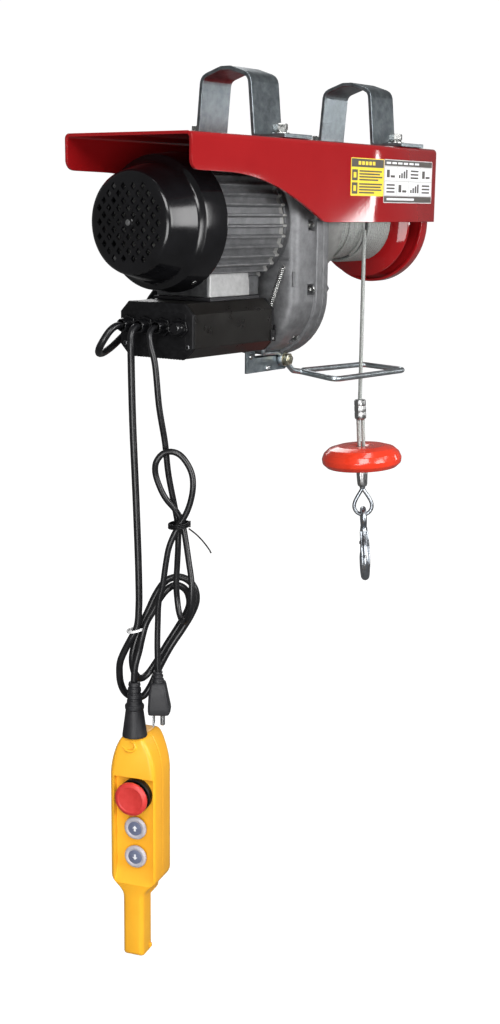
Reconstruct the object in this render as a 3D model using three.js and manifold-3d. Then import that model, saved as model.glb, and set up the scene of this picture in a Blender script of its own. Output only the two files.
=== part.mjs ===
// Small electric wire-rope hoist: a red channel frame hung from two straps carries an electric
// motor, a two-stage gearbox, a rope drum with its hook, a control box with a limit lever, and
// a pendant control on a hanging cable. Millimetres, +Z up.
//
// Sizes are given in the bench frame: x runs along the channel from its open (motor) end,
// y runs across it from the flange on the lever's side, z is height above the channel's top
// face. The exported group shifts all of it so that the origin is the seat of the support
// tube, midway between the two hanger straps.
import * as THREE from 'three';
import { mergeVertices } from 'three/addons/utils/BufferGeometryUtils.js';
import Module from 'manifold-3d';

const wasm = await Module();
wasm.setup();

// ---------------------------------------------------------------- driving dimensions
const GAP = 0.3; // clearance between neighbouring pieces
const CHANNEL = { length: 440, width: 150, sheet: 3, corner: 5, deep: 79, shallow: 33.5 };
const MID_Y = CHANNEL.width / 2;
const STRAP = { width: 47, thick: 4, foot: 36, half: 31.3, crown: 69, x: [171, 392] };
const BOLT = { y: 25, r: 4, hole: 4.5, headR: 7.5, head: 6.2, washerR: 9, nut: 6.5 };
const SEAT_Z = STRAP.crown - STRAP.thick;
const AXIS_Z = -80; // motor and drum axis
const LAY_Z = -140; // intermediate shaft, 60 below
const LOBE_Z = -153; // centre of the gearbox's lower lobe
const FAN_COVER = { x0: 2, x1: 67, wall: 2.5 };
const MOTOR = { x0: 67, x1: 172.7, bore: 52, shell: 55, fin: 59.5, fins: 36 };
const FOOT = { x0: 82.5, x1: 156.5, half: 33, top: -128, bottom: -150 };
const GEARBOX = { x0: 173, step: 184, x1: 230.7, r: 62, wall: 3.5, cover: 241, neck: 270.6 };
const DRUM = { x0: 268, x1: 400, core: 33, flange: 60.5, near: 53.5, rim: 411, shaftR: 10 };
const ROPE = { r: 2.25, x: 341.5, top: AXIS_Z - 21, end: -272 };
const WIND = { full: 46.5, step: 368.5, low: 42 };
const ROPE_Y = MID_Y - WIND.full + ROPE.r;
const BOX = { x0: 40, x1: 172, y0: 30, y1: 118, z0: -205.3, z1: -153.7, chamfer: 10, wall: 2.5 };
const GLAND = { y: [105.5, 84.5, 63.5, 42.5], z: -176, x: 26 };
const LEVER = { x: 226, z: -220, y: 55.5, rod: 3 };
const LOAD_TILT = 3.2; // degrees: the unloaded hook hangs a little off plumb
const HANG_TURN = 54.3; // degrees: thimble and coils have settled turned this far from the channel
const PENDANT = { x0: 8, split: 29, x1: 54, y: 82.5, half: 24.5, crown: 9, grip: 11.2, wall: 2.4, top: -579, turn: 16 };
const CONTROLS = { y: 80, panel: 15, side: 21, mid: 81, estop: -640.5, up: -675.5, down: -706 };
const BOOT = { x: 16, y: 82.5, z0: -579.4, z1: -523.5 };

// ---------------------------------------------------------------- materials
const material = (color, roughness, metalness = 0) =>
  new THREE.MeshStandardMaterial({ color, roughness, metalness });
const RED = material(0xa51c22, 0.3, 0.1);
const ZINC = material(0x9aa7ad, 0.35, 0.9);
const CAST = material(0x8c8d90, 0.55, 0.7);
const STEEL = material(0x8a8a88, 0.35, 0.9);
const DARK_STEEL = material(0x4b4b4d, 0.45, 0.8);
const COPPER = material(0xa35c34, 0.4, 0.8);
const BLACK_GLOSS = material(0x0b0b0c, 0.2);
const BLACK_BOX = material(0x121314, 0.35, 0.5);
const RUBBER = material(0x161617, 0.7);
const CABLE = material(0x101011, 0.45);
const WIRE_ROPE = material(0x9b9c9a, 0.45, 0.8);
const CHROME = material(0xc4c8cc, 0.15, 1);
const ORANGE = material(0xd8341c, 0.3);
const YELLOW = material(0xf7ab1e, 0.35);
const STOP_RED = material(0xc8352c, 0.45);
const GREY_CAP = material(0x8e90a0, 0.5);
const PHENOLIC = material(0x3a3430, 0.6);

// ---------------------------------------------------------------- geometry helpers
function toSolid(geometry) {
  const bare = geometry.clone();
  bare.deleteAttribute('normal');
  bare.deleteAttribute('uv');
  const merged = mergeVertices(bare, 1e-4);
  const vertices = Float32Array.from(merged.attributes.position.array);
  const triangles = Uint32Array.from(merged.index.array);
  if (signedVolume(vertices, triangles) < 0) {
    for (let i = 0; i < triangles.length; i += 3) {
      [triangles[i], triangles[i + 1]] = [triangles[i + 1], triangles[i]];
    }
  }
  return new wasm.Manifold(new wasm.Mesh({ numProp: 3, vertProperties: vertices, triVerts: triangles }));
}

function signedVolume(v, t) {
  let sum = 0;
  for (let i = 0; i < t.length; i += 3) {
    const [a, b, c] = [3 * t[i], 3 * t[i + 1], 3 * t[i + 2]];
    sum += v[a] * (v[b + 1] * v[c + 2] - v[b + 2] * v[c + 1]);
    sum -= v[a + 1] * (v[b] * v[c + 2] - v[b + 2] * v[c]);
    sum += v[a + 2] * (v[b] * v[c + 1] - v[b + 1] * v[c]);
  }
  return sum / 6;
}

function toGeometry(manifold) {
  const mesh = manifold.getMesh();
  const geometry = new THREE.BufferGeometry();
  geometry.setAttribute('position', new THREE.BufferAttribute(Float32Array.from(mesh.vertProperties), 3));
  geometry.setIndex(new THREE.BufferAttribute(Uint32Array.from(mesh.triVerts), 1));
  geometry.computeVertexNormals();
  return geometry;
}

const join = (...solids) => solids.reduce((sum, s) => sum.add(s));
const cut = (body, ...tools) => tools.reduce((rest, t) => rest.subtract(t), body);

// A box given by two opposite corners.
function block(x0, x1, y0, y1, z0, z1) {
  const box = new THREE.BoxGeometry(x1 - x0, y1 - y0, z1 - z0);
  return toSolid(box.translate((x0 + x1) / 2, (y0 + y1) / 2, (z0 + z1) / 2));
}

// A body of revolution: profile points are [along, radius]; a profile off the axis is closed.
function turned(profile, segments = 32) {
  const points = profile.map(([along, r]) => new THREE.Vector2(r, along));
  const ring = profile.every(([, r]) => r > 0);
  if (ring) points.push(points[0].clone());
  return new THREE.LatheGeometry(points, segments);
}

const alongX = (geometry, y = MID_Y, z = AXIS_Z) =>
  toSolid(geometry.rotateZ(-Math.PI / 2).translate(0, y, z));
const alongZ = (geometry, x, y) => toSolid(geometry.rotateX(Math.PI / 2).translate(x, y, 0));
const alongY = (geometry, x, z) => toSolid(geometry.translate(x, 0, z));
const rod = (from, to, r) => [[from, 0], [from, r], [to, r], [to, 0]];
const bush = (from, to, inner, outer) => [[from, inner], [from, outer], [to, outer], [to, inner]];

// A plate whose outline lies in the y-z plane, from x0 to x1. Outline points are (y, z).
function plateX(shape, x0, x1, curveSegments = 12) {
  const slab = new THREE.ExtrudeGeometry(shape, { depth: x1 - x0, bevelEnabled: false, curveSegments });
  const turn = new THREE.Matrix4().makeBasis(
    new THREE.Vector3(0, 1, 0), new THREE.Vector3(0, 0, 1), new THREE.Vector3(1, 0, 0));
  return toSolid(slab.applyMatrix4(turn).translate(x0, 0, 0));
}

// A plate whose outline lies in the x-z plane, from y0 to y1. Outline points are (x, z).
function plateY(shape, y0, y1, curveSegments = 12) {
  const slab = new THREE.ExtrudeGeometry(shape, { depth: y1 - y0, bevelEnabled: false, curveSegments });
  return toSolid(slab.rotateX(Math.PI / 2).translate(0, y1, 0));
}

function polygon(points) {
  return new THREE.Shape(points.map(([a, b]) => new THREE.Vector2(a, b)));
}

// A straight run whose corners are rounded, as a bent rod or a folded strip is.
function bentPath(points, radius) {
  const path = new THREE.CurvePath();
  const p = points.map((q) => new THREE.Vector3(...q));
  let from = p[0];
  for (let i = 1; i < p.length - 1; i++) {
    const back = p[i - 1].clone().sub(p[i]);
    const on = p[i + 1].clone().sub(p[i]);
    const reach = Math.min(radius, back.length() * 0.45, on.length() * 0.45);
    const a = p[i].clone().add(back.setLength(reach));
    const b = p[i].clone().add(on.setLength(reach));
    path.add(new THREE.LineCurve3(from, a));
    path.add(new THREE.QuadraticBezierCurve3(a, p[i], b));
    from = b;
  }
  path.add(new THREE.LineCurve3(from, p[p.length - 1]));
  return path;
}

function circleShape(r, sides) {
  const points = [];
  for (let i = 0; i < sides; i++) {
    const a = (2 * Math.PI * i) / sides;
    points.push([r * Math.cos(a), r * Math.sin(a)]);
  }
  return polygon(points);
}

function tube(path, r, steps, sides = 8) {
  const options = { steps, extrudePath: path, bevelEnabled: false };
  return toSolid(new THREE.ExtrudeGeometry(circleShape(r, sides), options));
}

const smooth = (points) => new THREE.CatmullRomCurve3(points.map((p) => new THREE.Vector3(...p)));

const hoist = new THREE.Group();
function piece(name, solid, look, parent = hoist) {
  const mesh = new THREE.Mesh(toGeometry(solid), look);
  mesh.name = name;
  parent.add(mesh);
}

// ---------------------------------------------------------------- frame
// The folded channel: a U section with rounded outer corners, then both flanges are trimmed
// to the swept lower edge that is deep over the drum and shallow over the motor.
function channel() {
  const { length, width, sheet, corner, deep, shallow } = CHANNEL;
  const section = new THREE.Shape();
  section.moveTo(0, -deep);
  section.lineTo(0, -corner);
  section.quadraticCurveTo(0, 0, corner, 0);
  section.lineTo(width - corner, 0);
  section.quadraticCurveTo(width, 0, width, -corner);
  section.lineTo(width, -deep);
  section.lineTo(width - sheet, -deep);
  section.lineTo(width - sheet, -sheet);
  section.lineTo(sheet, -sheet);
  section.lineTo(sheet, -deep);
  const side = new THREE.Shape();
  side.moveTo(0, 10);
  side.lineTo(0, -22);
  side.quadraticCurveTo(0, -shallow, 12, -shallow);
  side.lineTo(50, -shallow - 0.5);
  side.bezierCurveTo(120, -shallow - 1, 170, -58, 214, -deep + 0.8);
  side.quadraticCurveTo(219, -deep, 226, -deep);
  side.lineTo(length, -deep);
  side.lineTo(length, 10);
  let body = plateX(section, 0, length, 4).intersect(plateY(side, -1, width + 1, 14));
  for (const x of STRAP.x) {
    for (const y of [BOLT.y, width - BOLT.y]) {
      body = cut(body, alongZ(turned(rod(-2 * sheet, 2 * sheet, BOLT.hole), 16), x, y));
    }
  }
  return body;
}

// Closing plate at the drum's end: straight sides, a round bottom and a turned-in rim.
function endOutline(half, top) {
  const shape = new THREE.Shape();
  shape.moveTo(MID_Y - half, top);
  shape.lineTo(MID_Y - half, AXIS_Z);
  shape.absarc(MID_Y, AXIS_Z, half, Math.PI, 2 * Math.PI, false);
  shape.lineTo(MID_Y + half, top);
  return shape;
}

function endPlate() {
  const rimDepth = 14;
  const half = 67;
  const top = -CHANNEL.sheet - GAP;
  const { length, sheet } = CHANNEL;
  const outer = plateX(endOutline(half, top), length - rimDepth, length, 14);
  const inner = plateX(endOutline(half - sheet, top + 1), length - rimDepth - 1, length - sheet, 14);
  return cut(outer, inner, alongX(turned(rod(length - 10, length + 10, 16.4), 24)));
}

// Hanger strap: flat strip folded into two feet, two splayed legs and a shallow gabled crown.
function strapLine(grow) {
  const { foot, half, crown } = STRAP;
  // Each corner with the direction in which the sheet's surface faces there.
  const left = [[-foot, 0, -1, 0], [-half, crown - 15.5, -1, 0.05], [1.1 - half, crown - 11.4, -0.92, 0.39],
    [3.7 - half, crown - 8.1, -0.7, 0.71], [7.9 - half, crown - 5.8, -0.4, 0.92], [-5.5, crown, 0, 1]]
    .map(([y, z, ny, nz]) => [y + ny * grow, z + nz * grow]);
  return [...left, ...left.map(([y, z]) => [-y, z]).reverse()];
}

function strap(x) {
  const { width, thick } = STRAP;
  const lift = GAP;
  const foot = 72;
  const outer = strapLine(0).map(([y, z]) => [y, Math.max(z, thick + lift)]);
  const inner = strapLine(-thick).map(([y, z]) => [y, Math.max(z, lift)]);
  const line = [[-foot, lift], [-foot, thick + lift], ...outer, [foot, thick + lift], [foot, lift],
    ...inner.reverse()];
  const shape = polygon(line.map(([y, z]) => [MID_Y + y, z]));
  let body = plateX(shape, x - width / 2, x + width / 2);
  for (const y of [BOLT.y, CHANNEL.width - BOLT.y]) {
    body = cut(body, alongZ(turned(rod(-2, 3 * thick, BOLT.hole), 16), x, y));
  }
  return body;
}

// Hex bolt through strap and channel, with its flat and spring washers above and its nut below
// as one solid.
function hangerBolt(x, y) {
  const seat = STRAP.thick + 2 * GAP;
  const washer = seat + 1.6;
  const spring = washer + 2.4;
  const under = -CHANNEL.sheet - GAP;
  const head = turned(rod(spring, spring + BOLT.head, BOLT.headR), 6);
  const nut = turned(rod(under - BOLT.nut, under, BOLT.headR), 6);
  return join(
    alongZ(turned(rod(under - BOLT.nut - 4, spring + 1, BOLT.r), 12), x, y),
    alongZ(turned(rod(seat, washer, BOLT.washerR), 16), x, y),
    alongZ(turned(rod(washer, spring, 6.8), 16), x, y),
    alongZ(head, x, y), alongZ(nut, x, y));
}

function addFrame() {
  piece('channel_frame', channel(), RED);
  piece('end_plate', endPlate(), RED);
  STRAP.x.forEach((x, i) => piece(`hanger_strap_${i + 1}`, strap(x), ZINC));
  let count = 1;
  for (const x of STRAP.x) {
    for (const y of [BOLT.y, CHANNEL.width - BOLT.y]) {
      piece(`hanger_bolt_${count++}`, hangerBolt(x, y), STEEL);
    }
  }
}

// ---------------------------------------------------------------- motor
// Moulded cowl over the fan: a tapered nose with a perforated face, then a larger skirt.
function fanCover() {
  const { x0, x1, wall } = FAN_COVER;
  const skin = [[x0, 0], [x0, 42], [x0 + 1.5, 45.5], [x0 + 5, 48], [34, 54.5], [37.5, 58], [39.5, 62.5],
    [x1, 65.5], [x1, 65.5 - wall], [39.5 + wall, 62.5 - wall], [37, 55], [33, 52], [x0 + 6, 45.5],
    [x0 + wall, 41], [x0 + wall, 0]];
  let body = alongX(turned(skin, 32));
  const rings = [[14, 6], [28, 12]];
  for (const [r, count] of rings) {
    for (let i = 0; i < count; i++) {
      const a = (2 * Math.PI * (i + 0.5)) / count;
      const hole = turned(rod(x0 - 1, x0 + 2 * wall, 4), 4);
      body = cut(body, alongX(hole, MID_Y + r * Math.cos(a), AXIS_Z + r * Math.sin(a)));
    }
  }
  return body;
}

// Finned die-cast housing with a bearing wall at the fan end and a foot below.
function motorHousing() {
  const { x0, x1, bore, shell, fin, fins } = MOTOR;
  const outline = [];
  for (let i = 0; i < fins; i++) {
    const a = (2 * Math.PI * i) / fins;
    const halfFin = 1.2 / fin;
    const halfRoot = 1.6 / shell;
    for (const [r, at] of [[shell, a - halfRoot], [fin, a - halfFin], [fin, a + halfFin], [shell, a + halfRoot]]) {
      outline.push([MID_Y + r * Math.cos(at), AXIS_Z + r * Math.sin(at)]);
    }
  }
  const finned = plateX(polygon(outline), x0, x1);
  const foot = block(FOOT.x0, FOOT.x1, MID_Y - FOOT.half, MID_Y + FOOT.half, FOOT.bottom, FOOT.top);
  return cut(join(finned, foot),
    alongX(turned(rod(x0 + 7, x1 + 1, bore), 48)),
    alongX(turned(rod(x0 - 1, x0 + 8, 16.3), 24)));
}

function addMotor() {
  piece('fan_cover', fanCover(), BLACK_GLOSS);
  piece('motor_housing', motorHousing(), CAST);
  piece('stator_core', alongX(turned(bush(88, 158, 33, 51.5), 32)), DARK_STEEL);
  const coil = [[76, 31.7], [76, 49], [87.6, 49], [87.6, 32.7], [158.4, 32.7], [158.4, 49], [170, 49],
    [170, 31.7]];
  piece('stator_winding', alongX(turned(coil, 32)), COPPER);
  piece('motor_bearing_rear', alongX(turned(bush(67, 74, 8.3, 16), 24)), STEEL);
  piece('motor_bearing_front', alongX(turned(bush(175, 183, 8.3, 16), 24)), STEEL);
}

// ---------------------------------------------------------------- rotor, gears and gearbox
// Straight-sided gear teeth, thinned for backlash. One tooth points straight down at phase 0.
function gearShape(teeth, module, phase, z) {
  const pitch = (teeth * module) / 2;
  const step = (2 * Math.PI) / teeth;
  const points = [];
  for (let i = 0; i < teeth; i++) {
    const a = -Math.PI / 2 + (i + phase) * step;
    const rows = [[pitch - 1.15 * module, -0.3], [pitch + 0.85 * module, -0.12],
      [pitch + 0.85 * module, 0.12], [pitch - 1.15 * module, 0.3]];
    for (const [r, k] of rows) {
      points.push([MID_Y + r * Math.cos(a + k * step), z + r * Math.sin(a + k * step)]);
    }
  }
  return polygon(points);
}

const STAGE_1 = { module: 1.5, pinion: 10, gear: 70, x0: 193, x1: 204 };
const STAGE_2 = { module: 2, pinion: 9, gear: 51, x0: 211, x1: 225 };

function addRotor() {
  const { module, pinion, x0, x1 } = STAGE_1;
  const shaft = [[14, 0], [14, 7], [66.5, 7], [66.5, 8], [74.5, 8], [74.5, 9], [174, 9], [174, 8], [184, 8],
    [184, 5.7], [x1 + 2, 5.7], [x1 + 2, 0]];
  const teeth = plateX(gearShape(pinion, module, 0, AXIS_Z), x0 - 2, x1 + 2);
  piece('motor_shaft', join(alongX(turned(shaft, 20)), teeth), STEEL);
  piece('rotor_core', alongX(turned(bush(90, 156, 9.3, 31), 32)), DARK_STEEL);
  const blades = [];
  for (let i = 0; i < 8; i++) {
    const vane = new THREE.BoxGeometry(15, 30, 2).translate(23.5, 28, 0).rotateX((i * Math.PI) / 4);
    blades.push(toSolid(vane.translate(0, MID_Y, AXIS_Z)));
  }
  const hub = alongX(turned([[15, 7.3], [15, 14], [30, 14], [30, 43], [32, 43], [32, 7.3]], 24));
  piece('cooling_fan', join(hub, ...blades), BLACK_BOX);
}

function addLayshaft() {
  const { module, pinion, x0, x1 } = STAGE_2;
  const shaft = turned([[183, 0], [183, 6], [190, 6], [190, 7], [209, 7], [209, 6.2], [229, 6.2], [229, 6],
    [234.5, 6], [234.5, 0]], 20);
  const teeth = plateX(gearShape(pinion, module, 0, LAY_Z), x0, x1);
  piece('layshaft', join(alongX(shaft, MID_Y, LAY_Z), teeth), STEEL);
  const wheel = plateX(gearShape(STAGE_1.gear, STAGE_1.module, 0.5, LAY_Z),
    STAGE_1.x0, STAGE_1.x1);
  piece('intermediate_gear', cut(wheel, alongX(turned(rod(190, 208, 7.3), 20), MID_Y, LAY_Z)), DARK_STEEL);
}

// Two round lobes joined by straight sides: the gearbox's outline.
function stadium(r) {
  const shape = new THREE.Shape();
  shape.moveTo(MID_Y + r, LOBE_Z);
  shape.lineTo(MID_Y + r, AXIS_Z);
  shape.absarc(MID_Y, AXIS_Z, r, 0, Math.PI, false);
  shape.lineTo(MID_Y - r, LOBE_Z);
  shape.absarc(MID_Y, LOBE_Z, r, Math.PI, 2 * Math.PI, false);
  return shape;
}

function gearboxHousing() {
  const { x0, step, x1, r, wall } = GEARBOX;
  const body = join(
    alongX(turned(rod(x0, step + 1, 56), 32)),
    plateX(stadium(r), step, x1, 14),
    block(192, 226, 45, 105, -26, -CHANNEL.sheet - GAP));
  return cut(body,
    plateX(stadium(r - wall), step + wall, x1 + 1, 14),
    alongX(turned(rod(x0 - 1, x1, 16.3), 24)),
    alongX(turned(rod(x0 - 1, x0 + 2, 50), 32)),
    alongX(turned(rod(step - 3, x1, 6.3), 20), MID_Y, LAY_Z));
}

function gearboxCover() {
  const { x1, r, cover, neck } = GEARBOX;
  const from = x1 + GAP;
  const body = join(
    plateX(stadium(r + 1), from, cover, 14),
    alongX(turned(bush(cover - 1, neck, 54, 58), 32)),
    alongX(turned(bush(cover - 1, 254, 12, 24), 24)));
  return cut(body,
    plateX(stadium(r - 8), from - 1, from + 2.5, 14),
    alongX(turned(rod(from, 255, 16.3), 24)),
    alongX(turned(rod(from, 236, 6.3), 20), MID_Y, LAY_Z));
}

// ---------------------------------------------------------------- drum
function addDrum() {
  const { x0, x1, core, flange, near, rim, shaftR } = DRUM;
  const body = [[207, 0], [207, shaftR], [x0, shaftR], [x0, near], [x0 + 3.5, near], [x0 + 3.5, core],
    [x1, core], [x1 + 1, WIND.low], [rim - 3, flange], [rim, flange], [rim, flange - 2.5], [x1 + 4, WIND.low],
    [x1 + 3.5, core - 4], [x0 + 7, core - 4], [x0 + 7, shaftR], [438, shaftR], [438, 0]];
  piece('drum', alongX(turned(body, 32)), RED);
  const { module, gear } = STAGE_2;
  const wheel = plateX(gearShape(gear, module, 0, AXIS_Z), STAGE_2.x0 + 1, STAGE_2.x1 - 1);
  piece('drum_gear', cut(wheel, alongX(turned(rod(200, 230, shaftR + GAP), 32))), DARK_STEEL);
  piece('drum_bearing', alongX(turned(bush(cover(0.5), 253, shaftR + GAP, 16), 24)), STEEL);
  const end = CHANNEL.length;
  piece('end_bearing', alongX(turned([[end - 9, shaftR + GAP], [end - 9, 24], [end - 3.3, 24],
    [end - 3.3, 16], [end - GAP, 16], [end - GAP, shaftR + GAP]], 24)), STEEL);
  const inner = core + GAP;
  piece('rope_winding', alongX(turned([[x0 + 4, inner], [x0 + 4, WIND.full], [WIND.step, WIND.full],
    [WIND.step, WIND.low], [x1 - 0.5, WIND.low], [x1 - 0.5, inner]], 32)), WIRE_ROPE);
}

const cover = (offset) => GEARBOX.cover + offset;

function addGearbox() {
  piece('gearbox_housing', gearboxHousing(), CAST);
  piece('gearbox_cover', gearboxCover(), CAST);
}

// ---------------------------------------------------------------- control box
function octagon(inset) {
  const { y0, y1, z0, z1, chamfer } = BOX;
  const c = chamfer - inset * 0.4;
  const [a, b, d, e] = [y0 + inset, y1 - inset, z0 + inset, z1 - inset];
  return polygon([[a + c, d], [b - c, d], [b, d + c], [b, e - c], [b - c, e], [a + c, e], [a, e - c], [a, d + c]]);
}

function gland(y) {
  const { x, z } = GLAND;
  const wall = BOX.x0;
  const shape = [[x + 8, 0], [x + 8, 4.8], [x, 4.8], [x, 5.8], [x + 1.5, 7], [wall - 3.5, 7], [wall - 3.5, 9], [wall - GAP, 9],
    [wall - GAP, 6], [wall + 7, 6], [wall + 7, 0]];
  return alongX(turned(shape, 16), y, z);
}

function addControlBox() {
  const { x0, x1, wall } = BOX;
  const cap = 3.7;
  const tubeBody = plateX(octagon(0), x0 + cap + GAP, x1 - cap - GAP);
  piece('control_box', cut(tubeBody, plateX(octagon(wall), x0, x1)), BLACK_BOX);
  const holes = GLAND.y.map((y) => alongX(turned(rod(x0 - 1, x0 + 5, 6.3), 16), y, GLAND.z));
  piece('box_cap_left', cut(plateX(octagon(0), x0, x0 + cap), ...holes), BLACK_BOX);
  piece('box_cap_right', plateX(octagon(0), x1 - cap, x1), BLACK_BOX);
  piece('mounting_pad', block(80, 160, 40, 110, BOX.z1 + GAP, FOOT.bottom - GAP), RUBBER);
  piece('capacitor', alongX(turned(rod(62, 125, 16), 20), MID_Y, -180), BLACK_GLOSS);
  GLAND.y.forEach((y, i) => piece(`cable_gland_${i + 1}`, gland(y), BLACK_GLOSS));
}

// ---------------------------------------------------------------- limit lever
function leverBracket() {
  const { x, z } = LEVER;
  const face = plateY(polygon([[166, -231], [235, -231], [243, -223], [243, -216], [180.5, -216], [180.5, -207], [166, -207]]),
    58.8, 61.3);
  const shelf = block(192, 240, 60, 92, -218.6, -216);
  return cut(join(face, shelf), alongY(turned(rod(55, 62, 4.3), 16), x, z),
    alongY(turned(rod(61.3, 65, 5.2), 16), x, z));
}

function leverPivot() {
  const { x, z } = LEVER;
  return join(alongY(turned(rod(48, 64, 4), 12), x, z),
    alongY(turned(rod(46.5, 52, 6.6), 6), x, z),
    alongY(turned(rod(61.6, 64, 4.7), 12), x, z));
}

function limitLever() {
  const { x, z, y, rod: r } = LEVER;
  const eye = alongY(turned(bush(y - 2.7, y + 2.7, 4.3, 7), 20), x, z);
  const loop = bentPath([[x + 5, y, z - 3.5], [x + 18, y - 0.5, z - 13.5], [261, 57, -236], [249, 5, -239.5],
    [377, -5, -239.5], [375, 49, -237], [268, 58, -235.5]], 9);
  const tail = bentPath([[x - 6, y, z - 1], [x - 34, y - 0.5, z + 0.5], [178, 50, -215], [177, 46, -204]], 8);
  return join(eye, tube(loop, r, 44), tube(tail, r, 12));
}

const SPRING_PATH = { top: [179.5, 33, -124], coil: [176.2, 37, -165], wire: [177, 45, -199.5] };

function addLever() {
  piece('lever_bracket', leverBracket(), ZINC);
  piece('lever_pivot', leverPivot(), STEEL);
  piece('limit_switch', block(184, 204, 61.6, 74, -231, -218.9), BLACK_BOX);
  piece('limit_lever', limitLever(), ZINC);
  const { top, coil, wire } = SPRING_PATH;
  const line = (a, b) => new THREE.LineCurve3(new THREE.Vector3(...a), new THREE.Vector3(...b));
  piece('lever_spring', join(tube(line(top, coil), 3.6, 1), tube(line(coil, wire), 1, 1)), STEEL);
}

// ---------------------------------------------------------------- rope end and hook
// Pieces below the hoist rope are built about a vertical centre line through the origin, with
// their real heights, in a group that leans by LOAD_TILT about the rope's end.
const load = new THREE.Group();
const turn = THREE.MathUtils.degToRad(HANG_TURN);
const lean = new THREE.Quaternion().setFromAxisAngle(
  new THREE.Vector3(Math.sin(turn), Math.cos(turn), 0), -THREE.MathUtils.degToRad(LOAD_TILT));
const spin = new THREE.Quaternion().setFromAxisAngle(new THREE.Vector3(0, 0, 1), -turn);
load.quaternion.copy(lean.multiply(spin));
load.position.set(ROPE.x, ROPE_Y, ROPE.end);

const upright = (profile, segments) => toSolid(turned(profile, segments).rotateX(Math.PI / 2));

// A flat ring cut to a teardrop, in the group's x-z plane.
function thimble() {
  const drop = (grow) => {
    const shape = new THREE.Shape();
    shape.moveTo(0, -104 + grow * 2.2);
    shape.bezierCurveTo(-3 - grow, -109, -8.9 - grow, -116, -8.9 - grow, -122);
    shape.absarc(0, -122, 8.9 + grow, Math.PI, 2 * Math.PI, false);
    shape.bezierCurveTo(8.9 + grow, -116, 3 + grow, -109, 0, -104 + grow * 2.2);
    return shape;
  };
  return cut(plateY(drop(2.6), -2.2, 2.2, 8), plateY(drop(-2.6), -4, 4, 8));
}

const HOOK = { eyeZ: -133.6, eyeR: 9.5, wire: 3.3 };

// Eye, shank and bowl of the hook, in the group's y-z plane.
function hookBody() {
  const eye = new THREE.TorusGeometry(HOOK.eyeR, HOOK.wire, 10, 24).rotateY(Math.PI / 2);
  const bowl = tube(smooth([[0, 0, -144], [0, -1, -150], [0, -5, -157], [0, -11, -165], [0, -15, -175],
    [0, -15.5, -185], [0, -11.5, -196], [0, -2, -203], [0, 8.5, -201], [0, 15, -192.5], [0, 16, -183],
    [0, 19, -175]]), 4.8, 26, 8);
  return join(toSolid(eye.translate(0, 0, HOOK.eyeZ)), bowl);
}

// The latch: a folded plate pinned on the inside of the shank, closing the throat to the tip.
const LATCH = { y: 1.6, z: -163 };
function latch() {
  const bar = polygon([[LATCH.y - 1, LATCH.z + 2.5], [LATCH.y + 2.5, LATCH.z + 2.5], [12.4, -172.5],
    [13.2, -176.5], [10.6, -178.2], [LATCH.y - 2.6, LATCH.z - 1.6]]);
  return plateX(bar, -4, 4);
}

function addLoad() {
  const line = new THREE.LineCurve3(new THREE.Vector3(ROPE.x, ROPE_Y, ROPE.top),
    new THREE.Vector3(ROPE.x, ROPE_Y, ROPE.end + GAP));
  piece('hoist_rope', tube(line, ROPE.r, 1, 10), WIRE_ROPE);
  piece('upper_ferrule', upright([[0, 0], [0, 5.5], [-1, 6.6], [-20.5, 6.6], [-21.8, 5.5], [-21.8, 0]], 16), CAST, load);
  for (const [name, x] of [['rope_strand_live', 2.5], ['rope_strand_dead', -2.5]]) {
    piece(name, upright(rod(-77.7, -22.1, ROPE.r), 10).translate([x, 0, 0]), WIRE_ROPE, load);
  }
  const disc = [[-52.5, 5.2], [-51, 14], [-51.2, 28], [-54.5, 37], [-59.5, 42.4], [-65, 44.5], [-70.5, 43.9],
    [-75.5, 39], [-77.8, 26], [-78, 5.2]];
  piece('stop_disc', upright(disc, 32), ORANGE, load);
  piece('lower_ferrule', upright([[-78.3, 0], [-78.3, 6.3], [-96, 6.3], [-97.8, 4.8], [-97.8, 0]], 16), CAST, load);
  piece('thimble', thimble(), ZINC, load);
  piece('hook', hookBody(), CHROME, load);
  piece('hook_latch', latch(), CHROME, load);
}

// ---------------------------------------------------------------- pendant control
// Outline of the shell in the y-z plane: domed top, straight sides, tapered into a handle.
function shellOutline(inset, handle) {
  const { y, half, crown, top } = PENDANT;
  const w = half - inset;
  const g = PENDANT.grip - inset;
  const t = top - inset;
  const shape = new THREE.Shape();
  shape.moveTo(y - crown, t);
  shape.bezierCurveTo(y - crown - 5, t, y - w + 2, t - 24, y - w, t - 42);
  shape.lineTo(y - w, -729);
  shape.bezierCurveTo(y - w, -738, y - g, -740, y - g, -752);
  if (handle) {
    shape.lineTo(y - g, -812 + inset);
    shape.lineTo(y - g + 2.5, -814.5 + inset);
    shape.lineTo(y + g - 2.5, -814.5 + inset);
    shape.lineTo(y + g, -812 + inset);
  }
  shape.lineTo(y + g, -752);
  shape.bezierCurveTo(y + g, -740, y + w, -738, y + w, -729);
  shape.lineTo(y + w, t - 42);
  shape.bezierCurveTo(y + w - 2, t - 24, y + crown + 5, t, y + crown, t);
  return shape;
}

function bootNotch() {
  return alongZ(turned(rod(BOOT.z0 - GAP, PENDANT.top + 5, 12.9), 24), BOOT.x, BOOT.y);
}

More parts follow.
